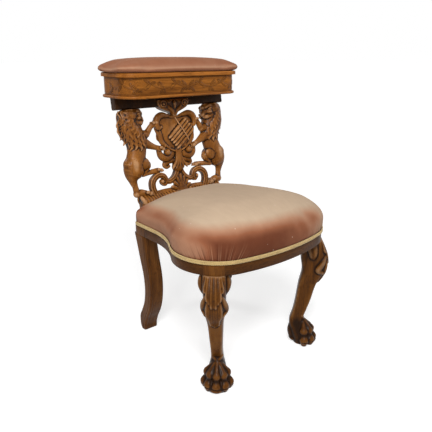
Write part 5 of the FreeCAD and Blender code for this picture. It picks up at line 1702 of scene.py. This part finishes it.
def lid_pad_rings():
    """Round-cornered rectangles stacked upward: a swelling edge over the board, fuller at the ends, then a
    shallow crown that falls towards the ends."""
    rings = []
    for share, inset in lid_stations:
        half_depth = (lid_rear - lid_front) / 2 - inset
        half_length = lid_half - inset - lid_end_bulge * min(inset, 0) / lid_pad_bulge
        low = (-half_length, 0.5 * (lid_front + lid_rear) - half_depth)
        high = (half_length, 0.5 * (lid_front + lid_rear) + half_depth)
        rounding = min(max(lid_corner - inset, 0.6 * half_depth), half_depth - 0.5)
        points = round_rectangle(low, high, rounding, 240)[0]
        fall = 1 - lid_end_fall * np.clip((np.abs(points[:, 0]) - 40) / (lid_half - 40), 0, 1) ** 1.7
        rings.append(at_level(points, lid_level + 0.3 + share * lid_pad_height * fall))
    return np.stack(rings)


lid_mesh = halved(swelled("lid_pad_velvet", lid_pad_rings(), lid_level + 4, 5, voxel=5.0))
points = mesh_points(lid_mesh)
points[:, 2] = np.maximum(points[:, 2], (lid_level + 0.2) * mm)
set_points(lid_mesh, points)
upward = averaged(np.column_stack([mesh_normals(lid_mesh)[:, 2]] * 3), mesh_edges(lid_mesh), 10)[:, 0]
shoulder = smooth_share(0.75 - upward, 0.0, 0.6) * smooth_share(upward, -0.2, 0.2)
store(lid_mesh, "faded", 0.36 + 0.26 * shoulder)
store(lid_mesh, "crease", np.zeros(len(points)))
lid_mesh.shade_smooth()
lid_pad = place_piece(lid_mesh, seat_velvet, ["lid_cover", "lid_stuffing"], "lid")


# Hinges: a pair of small brass butts let into the back wall and the lid, turning on steel pins.
# Three countersunk steel screws hold each leaf.
hinge_brass = old_metal("hinge_brass", (0.62, 0.42, 0.16, 1), (0.24, 0.14, 0.055, 1), 0.30)
for node in ("hinge_box_leaves", "hinge_lid_leaves"):
    finish_node(node, hinge_brass)
for node in ("hinge_pins", "hinge_box_screws", "hinge_lid_screws"):
    finish_node(node, screw_steel)


# Stage: a plain pale floor, a bright even studio and the camera at the photograph's angle.
# None of it belongs to the chair.
floor_half = 60.0
# the floor's own glow, near the chair and far from it, and the studio's light
near_glow = 0.60
far_glow = 0.86
studio_light = 0.22


def shown_as_background(add):
    """1 for rays from the camera and for rays that metal or glass sends on, 0 for light."""
    path = add("LightPath").outputs
    mirrored_rays = calculated(add, "MAXIMUM", path["Is Glossy Ray"], path["Is Transmission Ray"])
    return calculated(add, "MAXIMUM", path["Is Camera Ray"], mirrored_rays)


floor_mesh = bpy.data.meshes.new("floor")
floor_corners = np.array([[-1, -1, 0], [1, -1, 0], [1, 1, 0], [-1, 1, 0]]) * floor_half
floor_mesh.from_pydata(floor_corners.tolist(), [], [(0, 1, 2, 3)])
floor = in_scene("floor", floor_mesh)
floor_paint, add, shader = new_material("floor_paint")
floor_place = add("TexCoord").outputs["Object"]
floor_grain = add("TexNoise", Vector=floor_place, Scale=3.0, Detail=3).outputs[0]
# the glow is weaker near the chair, where the lamps light the floor, so its shadow still shows
floor_reach = add("VectorMath", {"operation": "LENGTH"}, i0=floor_place).outputs["Value"]
glow = ranged(add, floor_reach, 0.6, 3.0, near_glow, far_glow)
floor_glow = calculated(add, "MULTIPLY", shown_as_background(add), glow)
feed(shader, Base_Color=colour_ramp(add, floor_grain, ((0.0, (0.56, 0.56, 0.56)), (1.0, (0.60, 0.60, 0.60)))),
     Roughness=0.9, Specular_IOR_Level=0.1, Emission_Color=(1, 1, 1, 1), Emission_Strength=floor_glow)
floor_mesh.materials.append(floor_paint)

world = bpy.data.worlds.new("studio")
bpy.context.scene.world = world
world.use_nodes = True
world.node_tree.nodes.clear()
add = node_maker(world.node_tree)
strength = ranged(add, shown_as_background(add), 0.0, 1.0, studio_light, 1.0)
add("OutputWorld", Surface=add("Background", Color=(1, 1, 1, 1), Strength=strength).outputs[0])


def lamp(name, place, aim, width, power):
    """Round area lamp at a place, turned to look at its aim."""
    light = bpy.data.lights.new(name, "AREA")
    light.shape = "DISK"
    light.size = width
    light.energy = power
    item = in_scene(name, light)
    item.location = place
    direction = np.array(aim) - np.array(place)
    level = math.hypot(direction[0], direction[1])
    item.rotation_euler = (math.atan2(level, -direction[2]), 0, math.atan2(-direction[0], direction[1]))


lamp("key_lamp", (-1.2, -1.6, 2.4), (0, 0, 0.45), 0.9, 58)
lamp("side_lamp", (2.0, -0.9, 1.7), (0, 0, 0.4), 1.2, 14)
lamp("left_lamp", (-1.8, -1.3, 1.3), (0, 0.1, 0.5), 0.5, 15)
lamp("rear_lamp", (-0.8, 2.0, 1.9), (0, 0.1, 0.5), 1.2, 12)

# the camera's place, turn and lens are fitted to the chair's outline in the photograph
camera = bpy.data.cameras.new("camera")
camera.sensor_width = 36
camera.lens = 41.50
camera_stand = in_scene("camera", camera)
camera_stand.location = (-0.9231, -1.0904, 0.8573)
camera_stand.rotation_euler = (math.radians(72.099), 0, math.radians(-40.394))
bpy.context.scene.camera = camera_stand
bpy.context.scene.view_settings.view_transform = "Standard"
